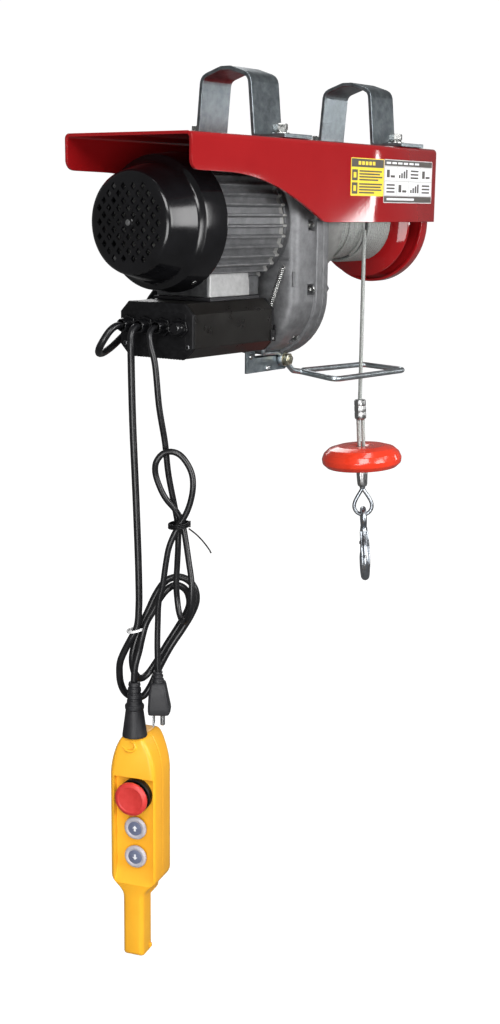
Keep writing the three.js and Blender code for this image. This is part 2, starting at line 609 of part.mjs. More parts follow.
function frontShell() {
  const { x0, split, wall, y } = PENDANT;
  const { panel, side: half, mid } = CONTROLS;
  const body = plateX(shellOutline(0, true), x0, split, 6);
  const hollow = cut(plateX(shellOutline(wall, true), x0 + wall, split + 1, 6),
    block(x0, panel + wall, mid - half - wall, mid + half + wall, -737.5, -618.5));
  const stems = [[CONTROLS.estop, 8.4], [CONTROLS.up, 6.4], [CONTROLS.down, 6.4]].map(([z, r]) =>
    alongX(turned(rod(panel - 2, panel + 5, r), 16), CONTROLS.y, z));
  const floor = block(x0, split + 1, y - 30, y + 30, BOOT.z0 - 3, PENDANT.top + 1);
  return cut(body, cut(hollow, floor), block(x0 - 1, panel, mid - half, mid + half, -735, -621.5), bootNotch(), ...stems);
}

function backShell() {
  const { x1, split, wall, y } = PENDANT;
  const body = plateX(shellOutline(0, false), split + GAP, x1, 6);
  const hollow = cut(plateX(shellOutline(wall, false), split, x1 - wall, 6),
    block(split - 1, x1, y - 30, y + 30, BOOT.z0 - 3, PENDANT.top + 1));
  return cut(body, hollow, bootNotch());
}

function control(z, profile) {
  return alongX(turned(profile, 24), CONTROLS.y, z);
}

// The shells and buttons are turned together about the boot's axis.
const handset = new THREE.Group();
handset.rotation.z = THREE.MathUtils.degToRad(PENDANT.turn);
handset.position.set(BOOT.x, BOOT.y, 0).sub(
  new THREE.Vector3(BOOT.x, BOOT.y, 0).applyAxisAngle(new THREE.Vector3(0, 0, 1), handset.rotation.z));

function addPendant() {
  piece('pendant_front', frontShell(), YELLOW, handset);
  piece('pendant_back', backShell(), YELLOW, handset);
  const { x, y, z0, z1 } = BOOT;
  const boot = [[z0 + GAP, 0], [z0 + GAP, 12.4], [-550.5, 8.6], [-549.5, 9.6], [-546.5, 9.6], [-545.5, 7.8], [z1, 5.4],
    [z1, 0]];
  piece('cable_boot', alongZ(turned(boot, 20), x, y), RUBBER);
  piece('contact_block', block(33, 44, CONTROLS.y - 13, CONTROLS.y + 13, -722, -628), PHENOLIC, handset);
  piece('estop_button', control(CONTROLS.estop, [[-2.8, 0], [-2.8, 12.8], [-1.9, 16.2], [0, 17.4], [2, 17],
    [3.5, 14], [3.5, 8], [23, 8], [23, 0]]), STOP_RED, handset);
  const cap = [[9, 0], [9, 10.2], [9.8, 11.8], [11.7, 11.8], [11.7, 6], [23, 6], [23, 0]];
  piece('up_button', control(CONTROLS.up, cap), GREY_CAP, handset);
  piece('down_button', control(CONTROLS.down, cap), GREY_CAP, handset);
  hoist.add(handset);
}

// ---------------------------------------------------------------- cables and plug
// A stretch of cable is listed as [across, back, height] seen in the plane the coils hang in.
const hung = ([across, back, z]) => [across * Math.cos(turn) + back * Math.sin(turn),
  back * Math.cos(turn) - across * Math.sin(turn), z];

// Out of its gland, down to the wire tie, twice round the coil and into the pendant's boot.
const PENDANT_CABLE = {
  drop: [[-59, 60, -191], [-59, 61, -208], [-58, 62, -264], [-55, 62, -346], [-53, 62, -416], [-53, 62, -448]],
  firstTurn: [[-55, 62, -468], [-61, 62, -480], [-67, 64, -492], [-72, 66, -505], [-73, 69, -518],
    [-72, 73, -530], [-68, 76, -540], [-60, 79, -546], [-51, 80, -545], [-44, 81, -536], [-37, 84, -521],
    [-24, 87, -496], [-11, 89, -476], [-3, 89, -462], [2, 88, -448], [1, 87, -436], [-4, 86, -428],
    [-12, 85, -423], [-21, 84, -423], [-29, 81, -427], [-37, 78, -438], [-45, 74, -455], [-52, 71, -470]],
  secondTurn: [[-57, 69, -485], [-60, 68, -498], [-60, 69, -509], [-58, 73, -519], [-53, 79, -526],
    [-47, 86, -524], [-39, 92, -514], [-27, 95, -494], [-17, 97, -478], [-9, 96, -464], [-5, 94, -452],
    [-7, 91, -440], [-12, 86, -433], [-19, 81, -430], [-26, 76, -433], [-33, 72, -441], [-39, 68, -452],
    [-46, 64, -464], [-50, 62, -478], [-53, 62, -492]],
  intoBoot: [[-57, 61, -508], [-58, 61, -522.8]],
};

// Out of its gland, through the tie, round the lower fold, over the upper loop, down to the plug.
const POWER_CORD = {
  drop: [[-40, 47, -190], [-36, 47, -207], [-32, 50, -250], [-27, 56, -284], [-24, 60, -315], [-18, 64, -349],
    [-15, 65, -368]],
  lowerFold: [[-15, 66, -386], [-16, 69, -406], [-17, 71, -427], [-16, 72, -443], [-14, 69, -455],
    [-11, 64, -461], [-8, 58, -461], [-5, 52, -456], [-2, 47, -446], [-1, 45, -432], [-1, 46, -418],
    [-4, 50, -398], [-7, 55, -380]],
  upperLoop: [[-9, 57, -369], [-12, 57, -358], [-18, 56, -348], [-26, 54, -338], [-32, 53, -326], [-36, 52, -312],
    [-35, 50, -302], [-29, 50, -294], [-21, 49, -291.5], [-13, 48, -294], [-6, 48, -302], [-1, 48, -313],
    [0, 47, -325], [-2, 48, -338], [-6, 49, -350]],
  toPlug: [[-12, 50, -361], [-18, 50, -372], [-23, 50, -385], [-26, 51, -401], [-29, 52, -422], [-33, 53, -440],
    [-34, 54, -460], [-34.5, 54, -484], [-34, 54, -509.5]],
};

// The first bend, from the gland's mouth round to the vertical.
function fromGland(y, drift) {
  const { x, z } = GLAND;
  return [[x - 2 * GAP, y, z], [x - 1.5, y, z], [x - 6, y - drift * 0.12, z - 1.7],
    [x - 10, y - drift * 0.5, z - 6.2]];
}

function cable(start, route, r, steps) {
  const points = [...start, ...Object.values(route).flat().map(hung)];
  return tube(smooth(points), r, steps, 8);
}

// Moulded plug: ribbed neck, tapered body, two flat blades and a round earth pin.
const PLUG = { across: -34, back: 54, neck: -510, body: -521, face: -552.5, tip: -565 };
function plug() {
  const { across: a, back: b, neck, body, face, tip } = PLUG;
  const front = plateY(polygon([[a - 7.6, body], [a - 9.5, face + 6], [a - 9, face], [a + 10.5, face],
    [a + 12.6, face + 5], [a + 7.8, body]]), b - 12, b + 12);
  const side = plateX(polygon([[b - 7.5, body + 1], [b - 11, face + 6], [b - 10.5, face - 1], [b + 10.5, face - 1],
    [b + 11, face + 6], [b + 7.5, body + 1]]), a - 20, a + 20);
  const collar = toSolid(turned([[neck, 0], [neck, 4.6], [body - 2, 6.6], [body - 2, 0]], 16).rotateX(Math.PI / 2)
    .translate(a, b, 0));
  const blade = (back) => block(a - 4.9, a - 3.4, back - 3.1, back + 3.1, tip, face + 3);
  const earth = toSolid(turned(rod(tip - 0.5, face + 3, 2.4), 10).rotateX(Math.PI / 2).translate(a + 4.6, b, 0));
  return join(front.intersect(side), collar, blade(b - 5.6), blade(b + 5.6), earth);
}

function addCables() {
  const lead = smooth([[25.4, 105.5, -176], [24.4, 105.5, -176], [19, 106.3, -176.8], [13, 108, -181], [8.5, 111.5, -189],
    [9, 118, -198], [15, 123.5, -203], [24, 126.5, -203.5], [36, 126.5, -199], [50, 125.5, -190.5], [66, 124.5, -180],
    [80, 124, -168.5], [91, 122.5, -155], [98, 118.5, -145.5], [100.4, 112, -141.6], [100.5, 110, -141.5],
    [100.5, 108.8, -141.5]]);
  piece('motor_lead', tube(lead, 3.5, 26, 8), CABLE);
  piece('pendant_cable', cable(fromGland(GLAND.y[1], 1.5), PENDANT_CABLE, 3.5, 80), CABLE);
  piece('power_cord', cable(fromGland(GLAND.y[2], 3.5), POWER_CORD, 3, 72), CABLE);
  const coils = new THREE.Group();
  coils.quaternion.copy(spin);
  piece('plug', plug(), RUBBER, coils);
  hoist.add(coils);
}

// ---------------------------------------------------------------- assembly
addFrame();
addMotor();
addRotor();
addGearbox();
addLayshaft();
addDrum();
addControlBox();
addLever();
addLoad();
addPendant();
addCables();
hoist.add(load);
hoist.position.set(-(STRAP.x[0] + STRAP.x[1]) / 2, -MID_Y, -SEAT_Z);
hoist.updateMatrixWorld(true);

export default hoist;
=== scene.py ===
"""Looks of the small electric wire-rope hoist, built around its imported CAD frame.

Sizes are in millimetres in the bench frame of the CAD source: x along the channel from its
motor end, y across it, z above its top face. at() takes a bench point to the row frame.
"""
import math

import bmesh
import bpy
from mathutils import Matrix, Vector


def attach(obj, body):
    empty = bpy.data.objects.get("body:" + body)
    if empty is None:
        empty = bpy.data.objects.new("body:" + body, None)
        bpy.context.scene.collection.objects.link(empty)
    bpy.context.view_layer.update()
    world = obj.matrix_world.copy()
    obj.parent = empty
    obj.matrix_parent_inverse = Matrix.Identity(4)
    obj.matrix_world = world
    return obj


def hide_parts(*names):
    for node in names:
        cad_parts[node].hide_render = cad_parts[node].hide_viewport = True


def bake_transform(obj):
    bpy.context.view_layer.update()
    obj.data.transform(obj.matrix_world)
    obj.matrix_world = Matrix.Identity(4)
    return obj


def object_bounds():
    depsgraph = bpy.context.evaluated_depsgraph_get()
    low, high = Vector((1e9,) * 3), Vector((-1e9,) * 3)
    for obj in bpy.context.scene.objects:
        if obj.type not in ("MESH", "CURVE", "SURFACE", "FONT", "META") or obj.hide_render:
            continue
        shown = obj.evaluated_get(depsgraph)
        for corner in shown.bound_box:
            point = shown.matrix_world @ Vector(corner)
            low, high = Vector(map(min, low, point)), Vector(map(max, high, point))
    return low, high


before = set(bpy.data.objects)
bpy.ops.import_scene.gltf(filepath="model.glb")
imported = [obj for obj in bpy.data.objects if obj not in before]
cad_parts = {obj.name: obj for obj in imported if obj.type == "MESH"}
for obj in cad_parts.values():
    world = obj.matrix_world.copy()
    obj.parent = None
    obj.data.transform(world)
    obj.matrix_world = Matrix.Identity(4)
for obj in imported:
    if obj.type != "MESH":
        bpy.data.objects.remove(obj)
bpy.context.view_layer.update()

ORIGIN = Vector((281.5, 75, 65))
MID_Y, AXIS_Z, LAY_Z, LOBE_Z = 75, -80, -140, -153
TURN = math.radians(54.3)
TAU = 2 * math.pi


def at(point):
    return (Vector(point) - ORIGIN) / 1000


# ---------------------------------------------------------------- camera
def add_camera():
    yaw, pitch, roll = (math.radians(a) for a in (54.2565, 11.9, 0.6475))
    forward = Vector((math.sin(yaw) * math.cos(pitch), math.cos(yaw) * math.cos(pitch), -math.sin(pitch)))
    level = Vector((math.cos(yaw), -math.sin(yaw), 0))
    over = level.cross(forward)
    right = math.cos(roll) * level + math.sin(roll) * over
    up = -math.sin(roll) * level + math.cos(roll) * over
    data = bpy.data.cameras.new("camera")
    data.sensor_fit = "VERTICAL"
    data.sensor_height = 36
    data.lens = 50.84
    data.clip_end = 50
    camera = bpy.data.objects.new("camera", data)
    bpy.context.scene.collection.objects.link(camera)
    place = Matrix((right, up, -forward)).transposed().to_4x4()
    place.translation = at((-1021.25, -801.92, -65.13))
    camera.matrix_world = place
    bpy.context.scene.camera = camera


add_camera()


# ---------------------------------------------------------------- shapes
class Shape:
    """Vertices in bench millimetres, faces, and one (u, v) per vertex where a finish needs it."""

    def __init__(self, verts=(), faces=(), uvs=None):
        self.verts = [Vector(v) for v in verts]
        self.faces = [tuple(f) for f in faces]
        self.uvs = list(uvs) if uvs else [(0.0, 0.0)] * len(self.verts)

    def __add__(self, other):
        shift = len(self.verts)
        faces = self.faces + [tuple(i + shift for i in f) for f in other.faces]
        return Shape(self.verts + other.verts, faces, self.uvs + other.uvs)

    def moved(self, matrix):
        return Shape([matrix @ v for v in self.verts], self.faces, self.uvs)


def total(shapes):
    shapes = list(shapes)
    result = shapes[0]
    for shape in shapes[1:]:
        result = result + shape
    return result


AXES = {
    "x": lambda a, b, c: (a, b, c),
    "y": lambda a, b, c: (c, a, b),
    "z": lambda a, b, c: (b, c, a),
}


def turned(profile, axis="x", centre=(MID_Y, AXIS_Z), segments=64, ring=False):
    """Body of revolution. profile is [(along, radius)], centre the two other coordinates."""
    put = AXES[axis]
    verts, faces, rows, uvs = [], [], [], []
    run = 0.0
    for k, (along, r) in enumerate(profile):
        if k:
            run += math.dist(profile[k - 1], (along, r))
        if r < 1e-6:
            rows.append([len(verts)])
            verts.append(put(along, *centre))
            uvs.append((0.5, run / 1000))
            continue
        rows.append(list(range(len(verts), len(verts) + segments)))
        for i in range(segments):
            a = TAU * i / segments
            verts.append(put(along, centre[0] + r * math.cos(a), centre[1] + r * math.sin(a)))
            uvs.append((i / segments, run / 1000))
    pairs = list(zip(rows, rows[1:]))
    if ring:
        pairs.append((rows[-1], rows[0]))
    for lower, upper in pairs:
        for i in range(segments):
            j = (i + 1) % segments
            if len(lower) == 1 and len(upper) == 1:
                continue
            if len(lower) == 1:
                faces.append((lower[0], upper[i], upper[j]))
            elif len(upper) == 1:
                faces.append((lower[i], lower[j], upper[0]))
            else:
                faces.append((lower[i], lower[j], upper[j], upper[i]))
    return Shape(verts, faces, uvs)


def rod(lo, hi, r, axis="x", centre=(MID_Y, AXIS_Z), segments=48, edge=0.0):
    profile = [(lo, 0), (lo, r - edge), (lo + edge, r), (hi - edge, r), (hi, r - edge), (hi, 0)]
    if edge == 0:
        profile = [(lo, 0), (lo, r), (hi, r), (hi, 0)]
    return turned(profile, axis, centre, segments)


def loft(rows, caps=True):
    """Closed outlines of equal length, one after another."""
    n = len(rows[0])
    verts = [p for row in rows for p in row]
    faces = []
    for k in range(len(rows) - 1):
        for i in range(n):
            j = (i + 1) % n
            faces.append((k * n + i, k * n + j, (k + 1) * n + j, (k + 1) * n + i))
    if caps:
        faces.append(tuple(reversed(range(n))))
        faces.append(tuple(range((len(rows) - 1) * n, len(rows) * n)))
    return Shape(verts, faces)


def prism(outline, axis, lo, hi):
    """outline points are the two coordinates after axis in x, y, z order (z, x for axis y)."""
    put = AXES[axis]
    return loft([[put(level, a, b) for a, b in outline] for level in (lo, hi)])


def block(x0, x1, y0, y1, z0, z1):
    return prism([(y0, z0), (y1, z0), (y1, z1), (y0, z1)], "x", x0, x1)


def circle(r, centre=(0, 0), n=24, start=0.0, sweep=TAU):
    last = n if sweep == TAU else n - 1
    return [(centre[0] + r * math.cos(start + sweep * i / last),
             centre[1] + r * math.sin(start + sweep * i / last)) for i in range(n)]


def hexagon(r, centre, turn=0.0):
    return circle(r, centre, 6, turn)


def rounded(points, radius, steps=6, closed=False):
    """A polyline in the plane with its corners turned at that radius (one for all, or one each)."""
    pts = [Vector(p) for p in points]
    n = len(pts)
    radii = radius if isinstance(radius, (list, tuple)) else [radius] * n
    out = []
    for i, p in enumerate(pts):
        if not closed and i in (0, n - 1):
            out.append(tuple(p))
            continue
        a, b = pts[i - 1] - p, pts[(i + 1) % n] - p
        half = a.angle(b) / 2
        reach = radii[i] / max(math.tan(half), 1e-6)
        reach = min(reach, a.length * 0.49, b.length * 0.49)
        start, end = p + a.normalized() * reach, p + b.normalized() * reach
        for k in range(steps + 1):
            t = k / steps
            q = start * (1 - t) ** 2 + p * (2 * t * (1 - t)) + end * t ** 2
            out.append(tuple(q))
    return out


def offset(points, distance):
    """A polyline in the plane shifted to its left."""
    pts = [Vector(p) for p in points]
    out = []
    for i, p in enumerate(pts):
        a = (p - pts[i - 1]).normalized() if i else (pts[1] - p).normalized()
        b = (pts[i + 1] - p).normalized() if i < len(pts) - 1 else a
        side_a, side_b = Vector((-a.y, a.x)), Vector((-b.y, b.x))
        mid = (side_a + side_b).normalized()
        out.append(tuple(p + mid * distance / max(mid.dot(side_a), 0.3)))
    return out


def spline(points, step=3.0):
    """Centripetal Catmull-Rom curve through the points, sampled about every step millimetres."""
    pts = [Vector(p) for p in points]
    out = []
    for i in range(len(pts) - 1):
        p1, p2 = pts[i], pts[i + 1]
        p0 = pts[i - 1] if i else 2 * p1 - p2
        p3 = pts[i + 2] if i + 2 < len(pts) else 2 * p2 - p1
        d0, d1, d2 = (max((q - p).length ** 0.5, 1e-4) for p, q in ((p0, p1), (p1, p2), (p2, p3)))
        t1 = ((p1 - p0) / d0 - (p2 - p0) / (d0 + d1) + (p2 - p1) / d1) * d1
        t2 = ((p2 - p1) / d1 - (p3 - p1) / (d1 + d2) + (p3 - p2) / d2) * d1
        count = max(1, round((p2 - p1).length / step))
        for k in range(count):
            t = k / count
            out.append((2 * t ** 3 - 3 * t ** 2 + 1) * p1 + (t ** 3 - 2 * t ** 2 + t) * t1
                       + (-2 * t ** 3 + 3 * t ** 2) * p2 + (t ** 3 - t ** 2) * t2)
    out.append(pts[-1])
    return out


def tube(points, radius, sides=16, closed=False, flat=1.0):
    """Round bar along a line of points. radius is a number or a function of the share of length."""
    pts = [Vector(p) for p in points]
    n = len(pts)
    runs = [0.0]
    for a, b in zip(pts, pts[1:]):
        runs.append(runs[-1] + (b - a).length)
    length = max(runs[-1], 1e-9)
    verts, uvs = [], []
    normal = None
    for i, p in enumerate(pts):
        if closed:
            tangent = (pts[(i + 1) % n] - pts[i - 1]).normalized()
        else:
            tangent = (pts[min(i + 1, n - 1)] - pts[max(i - 1, 0)]).normalized()
        if normal is None:
            guide = Vector((0, 0, 1)) if abs(tangent.z) < 0.9 else Vector((1, 0, 0))
            normal = guide.cross(tangent).normalized()
        normal = (normal - tangent * normal.dot(tangent)).normalized()
        side = tangent.cross(normal)
        r = radius(runs[i] / length) if callable(radius) else radius
        for k in range(sides):
            a = TAU * k / sides
            verts.append(p + normal * (r * math.cos(a)) + side * (r * flat * math.sin(a)))
            uvs.append((k / sides, runs[i] / 1000))
    faces = []
    for i in range(n if closed else n - 1):
        m = (i + 1) % n
        for k in range(sides):
            j = (k + 1) % sides
            faces.append((i * sides + k, i * sides + j, m * sides + j, m * sides + k))
    if not closed:
        faces.append(tuple(reversed(range(sides))))
        faces.append(tuple(range((n - 1) * sides, n * sides)))
    return Shape(verts, faces, uvs)


def helix(lo, hi, r, turns, axis="x", centre=(MID_Y, AXIS_Z), per_turn=32, start=0.0):
    put = AXES[axis]
    count = max(2, int(turns * per_turn))
    return [put(lo + (hi - lo) * i / count,
                centre[0] + r * math.cos(start + TAU * turns * i / count),
                centre[1] + r * math.sin(start + TAU * turns * i / count)) for i in range(count + 1)]


# ---------------------------------------------------------------- objects
def make(name, shape, finish, body, stands_for=(), angle=35, bevel=0.0, segments=2):
    """A mesh object of that shape, smooth up to an angle, with rounded edges, on a CAD body."""
    mesh = bpy.data.meshes.new(name)
    mesh.from_pydata([at(v) for v in shape.verts], [], shape.faces)
    work = bmesh.new()
    work.from_mesh(mesh)
    layer = work.loops.layers.uv.new("run")
    for face in work.faces:
        us = [shape.uvs[loop.vert.index] for loop in face.loops]
        wraps = max(u for u, _ in us) - min(u for u, _ in us) > 0.6
        for loop, (u, v) in zip(face.loops, us):
            loop[layer].uv = (u + 1.0 if wraps and u < 0.5 else u, v)
    bmesh.ops.recalc_face_normals(work, faces=work.faces)
    work.to_mesh(mesh)
    work.free()
    mesh.shade_smooth()
    mesh.set_sharp_from_angle(angle=math.radians(angle))
    obj = bpy.data.objects.new(name, mesh)
    bpy.context.scene.collection.objects.link(obj)
    mesh.materials.append(finish)
    if bevel:
        edge = obj.modifiers.new("edges", "BEVEL")
        edge.width = bevel / 1000
        edge.segments = segments
        edge.limit_method = "ANGLE"
        edge.angle_limit = math.radians(angle)
        edge.harden_normals = True
    if body:
        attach(obj, body)
    if stands_for:
        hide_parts(*stands_for)
    return obj


def carve(obj, cutter_shape, operation="DIFFERENCE"):
    """Cuts a shape out of an object's own mesh, before any other modifier."""
    cutter = make("cutter", cutter_shape, obj.data.materials[0], None)
    boolean = obj.modifiers.new("cut", "BOOLEAN")
    boolean.object = cutter
    boolean.operation = operation
    boolean.solver = "EXACT"
    others = [m for m in obj.modifiers if m.type != "BOOLEAN"]
    shown = [m.show_viewport for m in others]
    for m in others:
        m.show_viewport = False
    bpy.context.view_layer.update()
    result = bpy.data.meshes.new_from_object(obj.evaluated_get(bpy.context.evaluated_depsgraph_get()))
    for m, s in zip(others, shown):
        m.show_viewport = s
    obj.modifiers.remove(boolean)
    old = obj.data
    name = old.name
    obj.data = result
    bpy.data.meshes.remove(old)
    result.name = name
    bpy.data.objects.remove(cutter)
    result.shade_smooth()
    result.set_sharp_from_angle(angle=math.radians(30))
    return obj


# ---------------------------------------------------------------- finishes
def finish(name, dark, light, rough, grain=60.0, metal=0.0, bump=0.15, fine=900.0, stretch=(1, 1, 1),
           coat=0.0, contrast=(0.35, 0.65), depth=0.0004, shine=0.5):
    """Procedural finish: cloudy colour and roughness from one noise, surface grain from another."""
    mat = bpy.data.materials.new(name)
    mat.use_nodes = True
    nodes, link = mat.node_tree.nodes, mat.node_tree.links.new
    shader = nodes["Principled BSDF"]
    shader.inputs["Metallic"].default_value = metal
    shader.inputs["Specular IOR Level"].default_value = shine
    shader.inputs["Coat Weight"].default_value = coat
    shader.inputs["Coat Roughness"].default_value = 0.06
    coords = nodes.new("ShaderNodeTexCoord")
    mapping = nodes.new("ShaderNodeMapping")
    mapping.inputs["Scale"].default_value = stretch
    link(coords.outputs["Object"], mapping.inputs["Vector"])
    cloud = nodes.new("ShaderNodeTexNoise")
    cloud.inputs["Scale"].default_value = grain
    cloud.inputs["Detail"].default_value = 6
    cloud.inputs["Roughness"].default_value = 0.62
    link(mapping.outputs["Vector"], cloud.inputs["Vector"])
    ramp = nodes.new("ShaderNodeValToRGB")
    ramp.color_ramp.elements[0].position = contrast[0]
    ramp.color_ramp.elements[1].position = contrast[1]
    ramp.color_ramp.elements[0].color = (*dark, 1)
    ramp.color_ramp.elements[1].color = (*light, 1)
    link(cloud.outputs["Fac"], ramp.inputs["Fac"])
    link(ramp.outputs["Color"], shader.inputs["Base Color"])
    spread = nodes.new("ShaderNodeMapRange")
    spread.inputs["From Min"].default_value = 0.3
    spread.inputs["From Max"].default_value = 0.7
    spread.inputs["To Min"].default_value = rough[0]
    spread.inputs["To Max"].default_value = rough[1]
    link(cloud.outputs["Fac"], spread.inputs["Value"])
    link(spread.outputs["Result"], shader.inputs["Roughness"])
    skin = nodes.new("ShaderNodeTexNoise")
    skin.inputs["Scale"].default_value = fine
    skin.inputs["Detail"].default_value = 3
    link(mapping.outputs["Vector"], skin.inputs["Vector"])
    relief = nodes.new("ShaderNodeBump")
    relief.inputs["Strength"].default_value = bump
    relief.inputs["Distance"].default_value = depth
    link(skin.outputs["Fac"], relief.inputs["Height"])
    link(relief.outputs["Normal"], shader.inputs["Normal"])
    if coat:
        link(relief.outputs["Normal"], shader.inputs["Coat Normal"])
    return mat


RED = finish("red_enamel", (0.29, 0.006, 0.008), (0.33, 0.008, 0.01), (0.05, 0.09), grain=9, bump=0.25, fine=300,
             coat=0.25, depth=0.00012, shine=0.35)
ZINC = finish("zinc_plate", (0.21, 0.24, 0.26), (0.34, 0.385, 0.41), (0.3, 0.42), grain=130, metal=1.0, bump=0.12,
              fine=700)
BOLT_STEEL = finish("bolt_plate", (0.42, 0.43, 0.42), (0.72, 0.72, 0.7), (0.2, 0.34), grain=300, metal=1.0,
                    bump=0.08)
CAST = finish("cast_aluminium", (0.13, 0.132, 0.137), (0.2, 0.202, 0.208), (0.42, 0.55), grain=120, metal=0.55,
              bump=0.35, fine=1400)
# Paler cast tone: the gearbox neck and hub's own colour, and on the motor fin ends a painted highlight.
CAST_PALE_AND_HIGHLIGHT = finish("cast_pale_and_highlight", (0.26, 0.26, 0.25), (0.36, 0.36, 0.35), (0.4, 0.55), grain=90, metal=0.6,
                    bump=0.3, fine=1300)
FOOT_CAST = finish("cast_foot", (0.34, 0.34, 0.34), (0.46, 0.46, 0.46), (0.45, 0.6), grain=160, metal=0.5,
                   bump=0.4, fine=1200)
GLOSS_BLACK = finish("gloss_black", (0.003, 0.003, 0.0035), (0.006, 0.006, 0.007), (0.1, 0.2), grain=30, bump=0.05,
                     fine=500)
BOX_BLACK = finish("anodised_black", (0.007, 0.0062, 0.0056), (0.011, 0.01, 0.009), (0.26, 0.36), grain=60,
                   bump=0.1, fine=1600, shine=0.22)
CAP_BLACK = finish("moulded_black", (0.004, 0.004, 0.0045), (0.008, 0.008, 0.009), (0.35, 0.5), grain=200, bump=0.2,
                   fine=1600, shine=0.25)
RUBBER = finish("rubber", (0.009, 0.009, 0.011), (0.017, 0.017, 0.02), (0.45, 0.6), grain=150, bump=0.25, fine=1500)
SHEATH = finish("cable_sheath", (0.005, 0.005, 0.006), (0.01, 0.01, 0.011), (0.26, 0.36), grain=120, bump=0.12,
                fine=1200)
DARK_STEEL = finish("dark_steel", (0.12, 0.12, 0.125), (0.24, 0.24, 0.25), (0.35, 0.5), grain=200, metal=1.0)
BRIGHT_STEEL = finish("bright_steel", (0.45, 0.45, 0.45), (0.68, 0.68, 0.68), (0.18, 0.3), grain=200, metal=1.0,
                      stretch=(0.1, 1, 1), bump=0.06)
COPPER = finish("copper_wire", (0.42, 0.15, 0.05), (0.62, 0.26, 0.1), (0.3, 0.42), grain=500, metal=1.0, bump=0.5,
                fine=800)
CHROME = finish("chrome", (0.3, 0.32, 0.35), (0.46, 0.49, 0.52), (0.26, 0.38), grain=120, metal=1.0, bump=0.05)
FERRULE = finish("ferrule", (0.3, 0.3, 0.3), (0.56, 0.56, 0.56), (0.25, 0.45), grain=350, metal=1.0, bump=0.35,
                 fine=600, stretch=(1, 1, 0.25))
ORANGE = finish("disc_enamel", (0.72, 0.035, 0.012), (0.82, 0.05, 0.018), (0.14, 0.24), grain=25, bump=0.1, fine=500,
                coat=0.4)
YELLOW = finish("pendant_yellow", (0.95, 0.44, 0.022), (1.0, 0.49, 0.028), (0.3, 0.4), grain=18, bump=0.12, fine=1800)
STOP_RED = finish("stop_red", (0.6, 0.035, 0.03), (0.68, 0.05, 0.045), (0.35, 0.45), grain=120, bump=0.15, fine=1500)
BOOT_GREY = finish("button_boot", (0.42, 0.4, 0.44), (0.52, 0.5, 0.54), (0.25, 0.35), grain=120, bump=0.08)
DISC_BLUE = finish("button_disc", (0.12, 0.14, 0.22), (0.17, 0.19, 0.28), (0.3, 0.4), grain=150, bump=0.08)
WHITE = finish("white_print", (0.78, 0.78, 0.8), (0.86, 0.86, 0.88), (0.4, 0.5), grain=200, bump=0.05)
LABEL_YELLOW = finish("label_yellow", (0.86, 0.62, 0.02), (0.92, 0.68, 0.03), (0.35, 0.45), grain=60, bump=0.05)
LABEL_DARK = finish("label_dark", (0.035, 0.028, 0.024), (0.06, 0.05, 0.042), (0.35, 0.45), grain=60, bump=0.05)
LABEL_GREY = finish("label_grey", (0.5, 0.49, 0.49), (0.58, 0.57, 0.57), (0.35, 0.45), grain=60, bump=0.05)
TIE_WHITE = finish("tie_white", (0.7, 0.7, 0.7), (0.82, 0.82, 0.82), (0.35, 0.5), grain=200, bump=0.1)
PHENOLIC = finish("phenolic", (0.03, 0.022, 0.018), (0.05, 0.038, 0.03), (0.4, 0.55), grain=200, bump=0.1)
# Dark cast finish for the seat, flange and heels; the sheet on the foot's motor-end face uses it as painted shadow.
CAST_DARK_AND_SHADE = finish("cast_dark_and_shade", (0.06, 0.061, 0.064), (0.11, 0.112, 0.116), (0.36, 0.5), grain=130, metal=0.5,
                   bump=0.35,
                   fine=1400)
NUT_STEEL = finish("nut_plate", (0.3, 0.28, 0.2), (0.62, 0.6, 0.48), (0.22, 0.36), grain=260, metal=1.0, bump=0.15)
ROD_ZINC = finish("rod_zinc", (0.4, 0.44, 0.46), (0.58, 0.63, 0.66), (0.3, 0.4), grain=90, metal=1.0, bump=0.08)
SPRING_WIRE = finish("spring_wire", (0.5, 0.5, 0.49), (0.74, 0.74, 0.72), (0.2, 0.3), grain=400, metal=1.0, bump=0.05)
BLUED = finish("blued_steel", (0.03, 0.035, 0.07), (0.06, 0.07, 0.13), (0.25, 0.4), grain=200, metal=0.8, bump=0.1)
STRAND_WIRE = finish("strand_wire", (0.3, 0.31, 0.3), (0.5, 0.52, 0.5), (0.45, 0.6), grain=600, metal=0.7, bump=0.2,
                     fine=2500)

# ---------------------------------------------------------------- cables and plug
PENDANT_ROUTE = [
    (-59, 60, -191), (-59, 61, -208), (-58, 62, -264), (-55, 62, -346), (-53, 62, -416), (-53, 62, -448),
    (-55, 62, -468), (-61, 62, -480), (-67, 64, -492), (-72, 66, -505), (-73, 69, -518),
    (-72, 73, -530), (-68, 76, -540), (-60, 79, -546), (-51, 80, -545), (-44, 81, -536), (-37, 84, -521),
    (-24, 87, -496), (-11, 89, -476), (-3, 89, -462), (2, 88, -448), (1, 87, -436), (-4, 86, -428),
    (-12, 85, -423), (-21, 84, -423), (-29, 81, -427), (-37, 78, -438), (-45, 74, -455), (-52, 71, -470),
    (-57, 69, -485), (-60, 68, -498), (-60, 69, -509), (-58, 73, -519), (-53, 79, -526),
    (-47, 86, -524), (-39, 92, -514), (-27, 95, -494), (-17, 97, -478), (-9, 96, -464), (-5, 94, -452),
    (-7, 91, -440), (-12, 86, -433), (-19, 81, -430), (-26, 76, -433), (-33, 72, -441), (-39, 68, -452),
    (-46, 64, -464), (-50, 62, -478), (-53, 62, -492), (-57, 61, -508), (-58, 61, -522.8)]
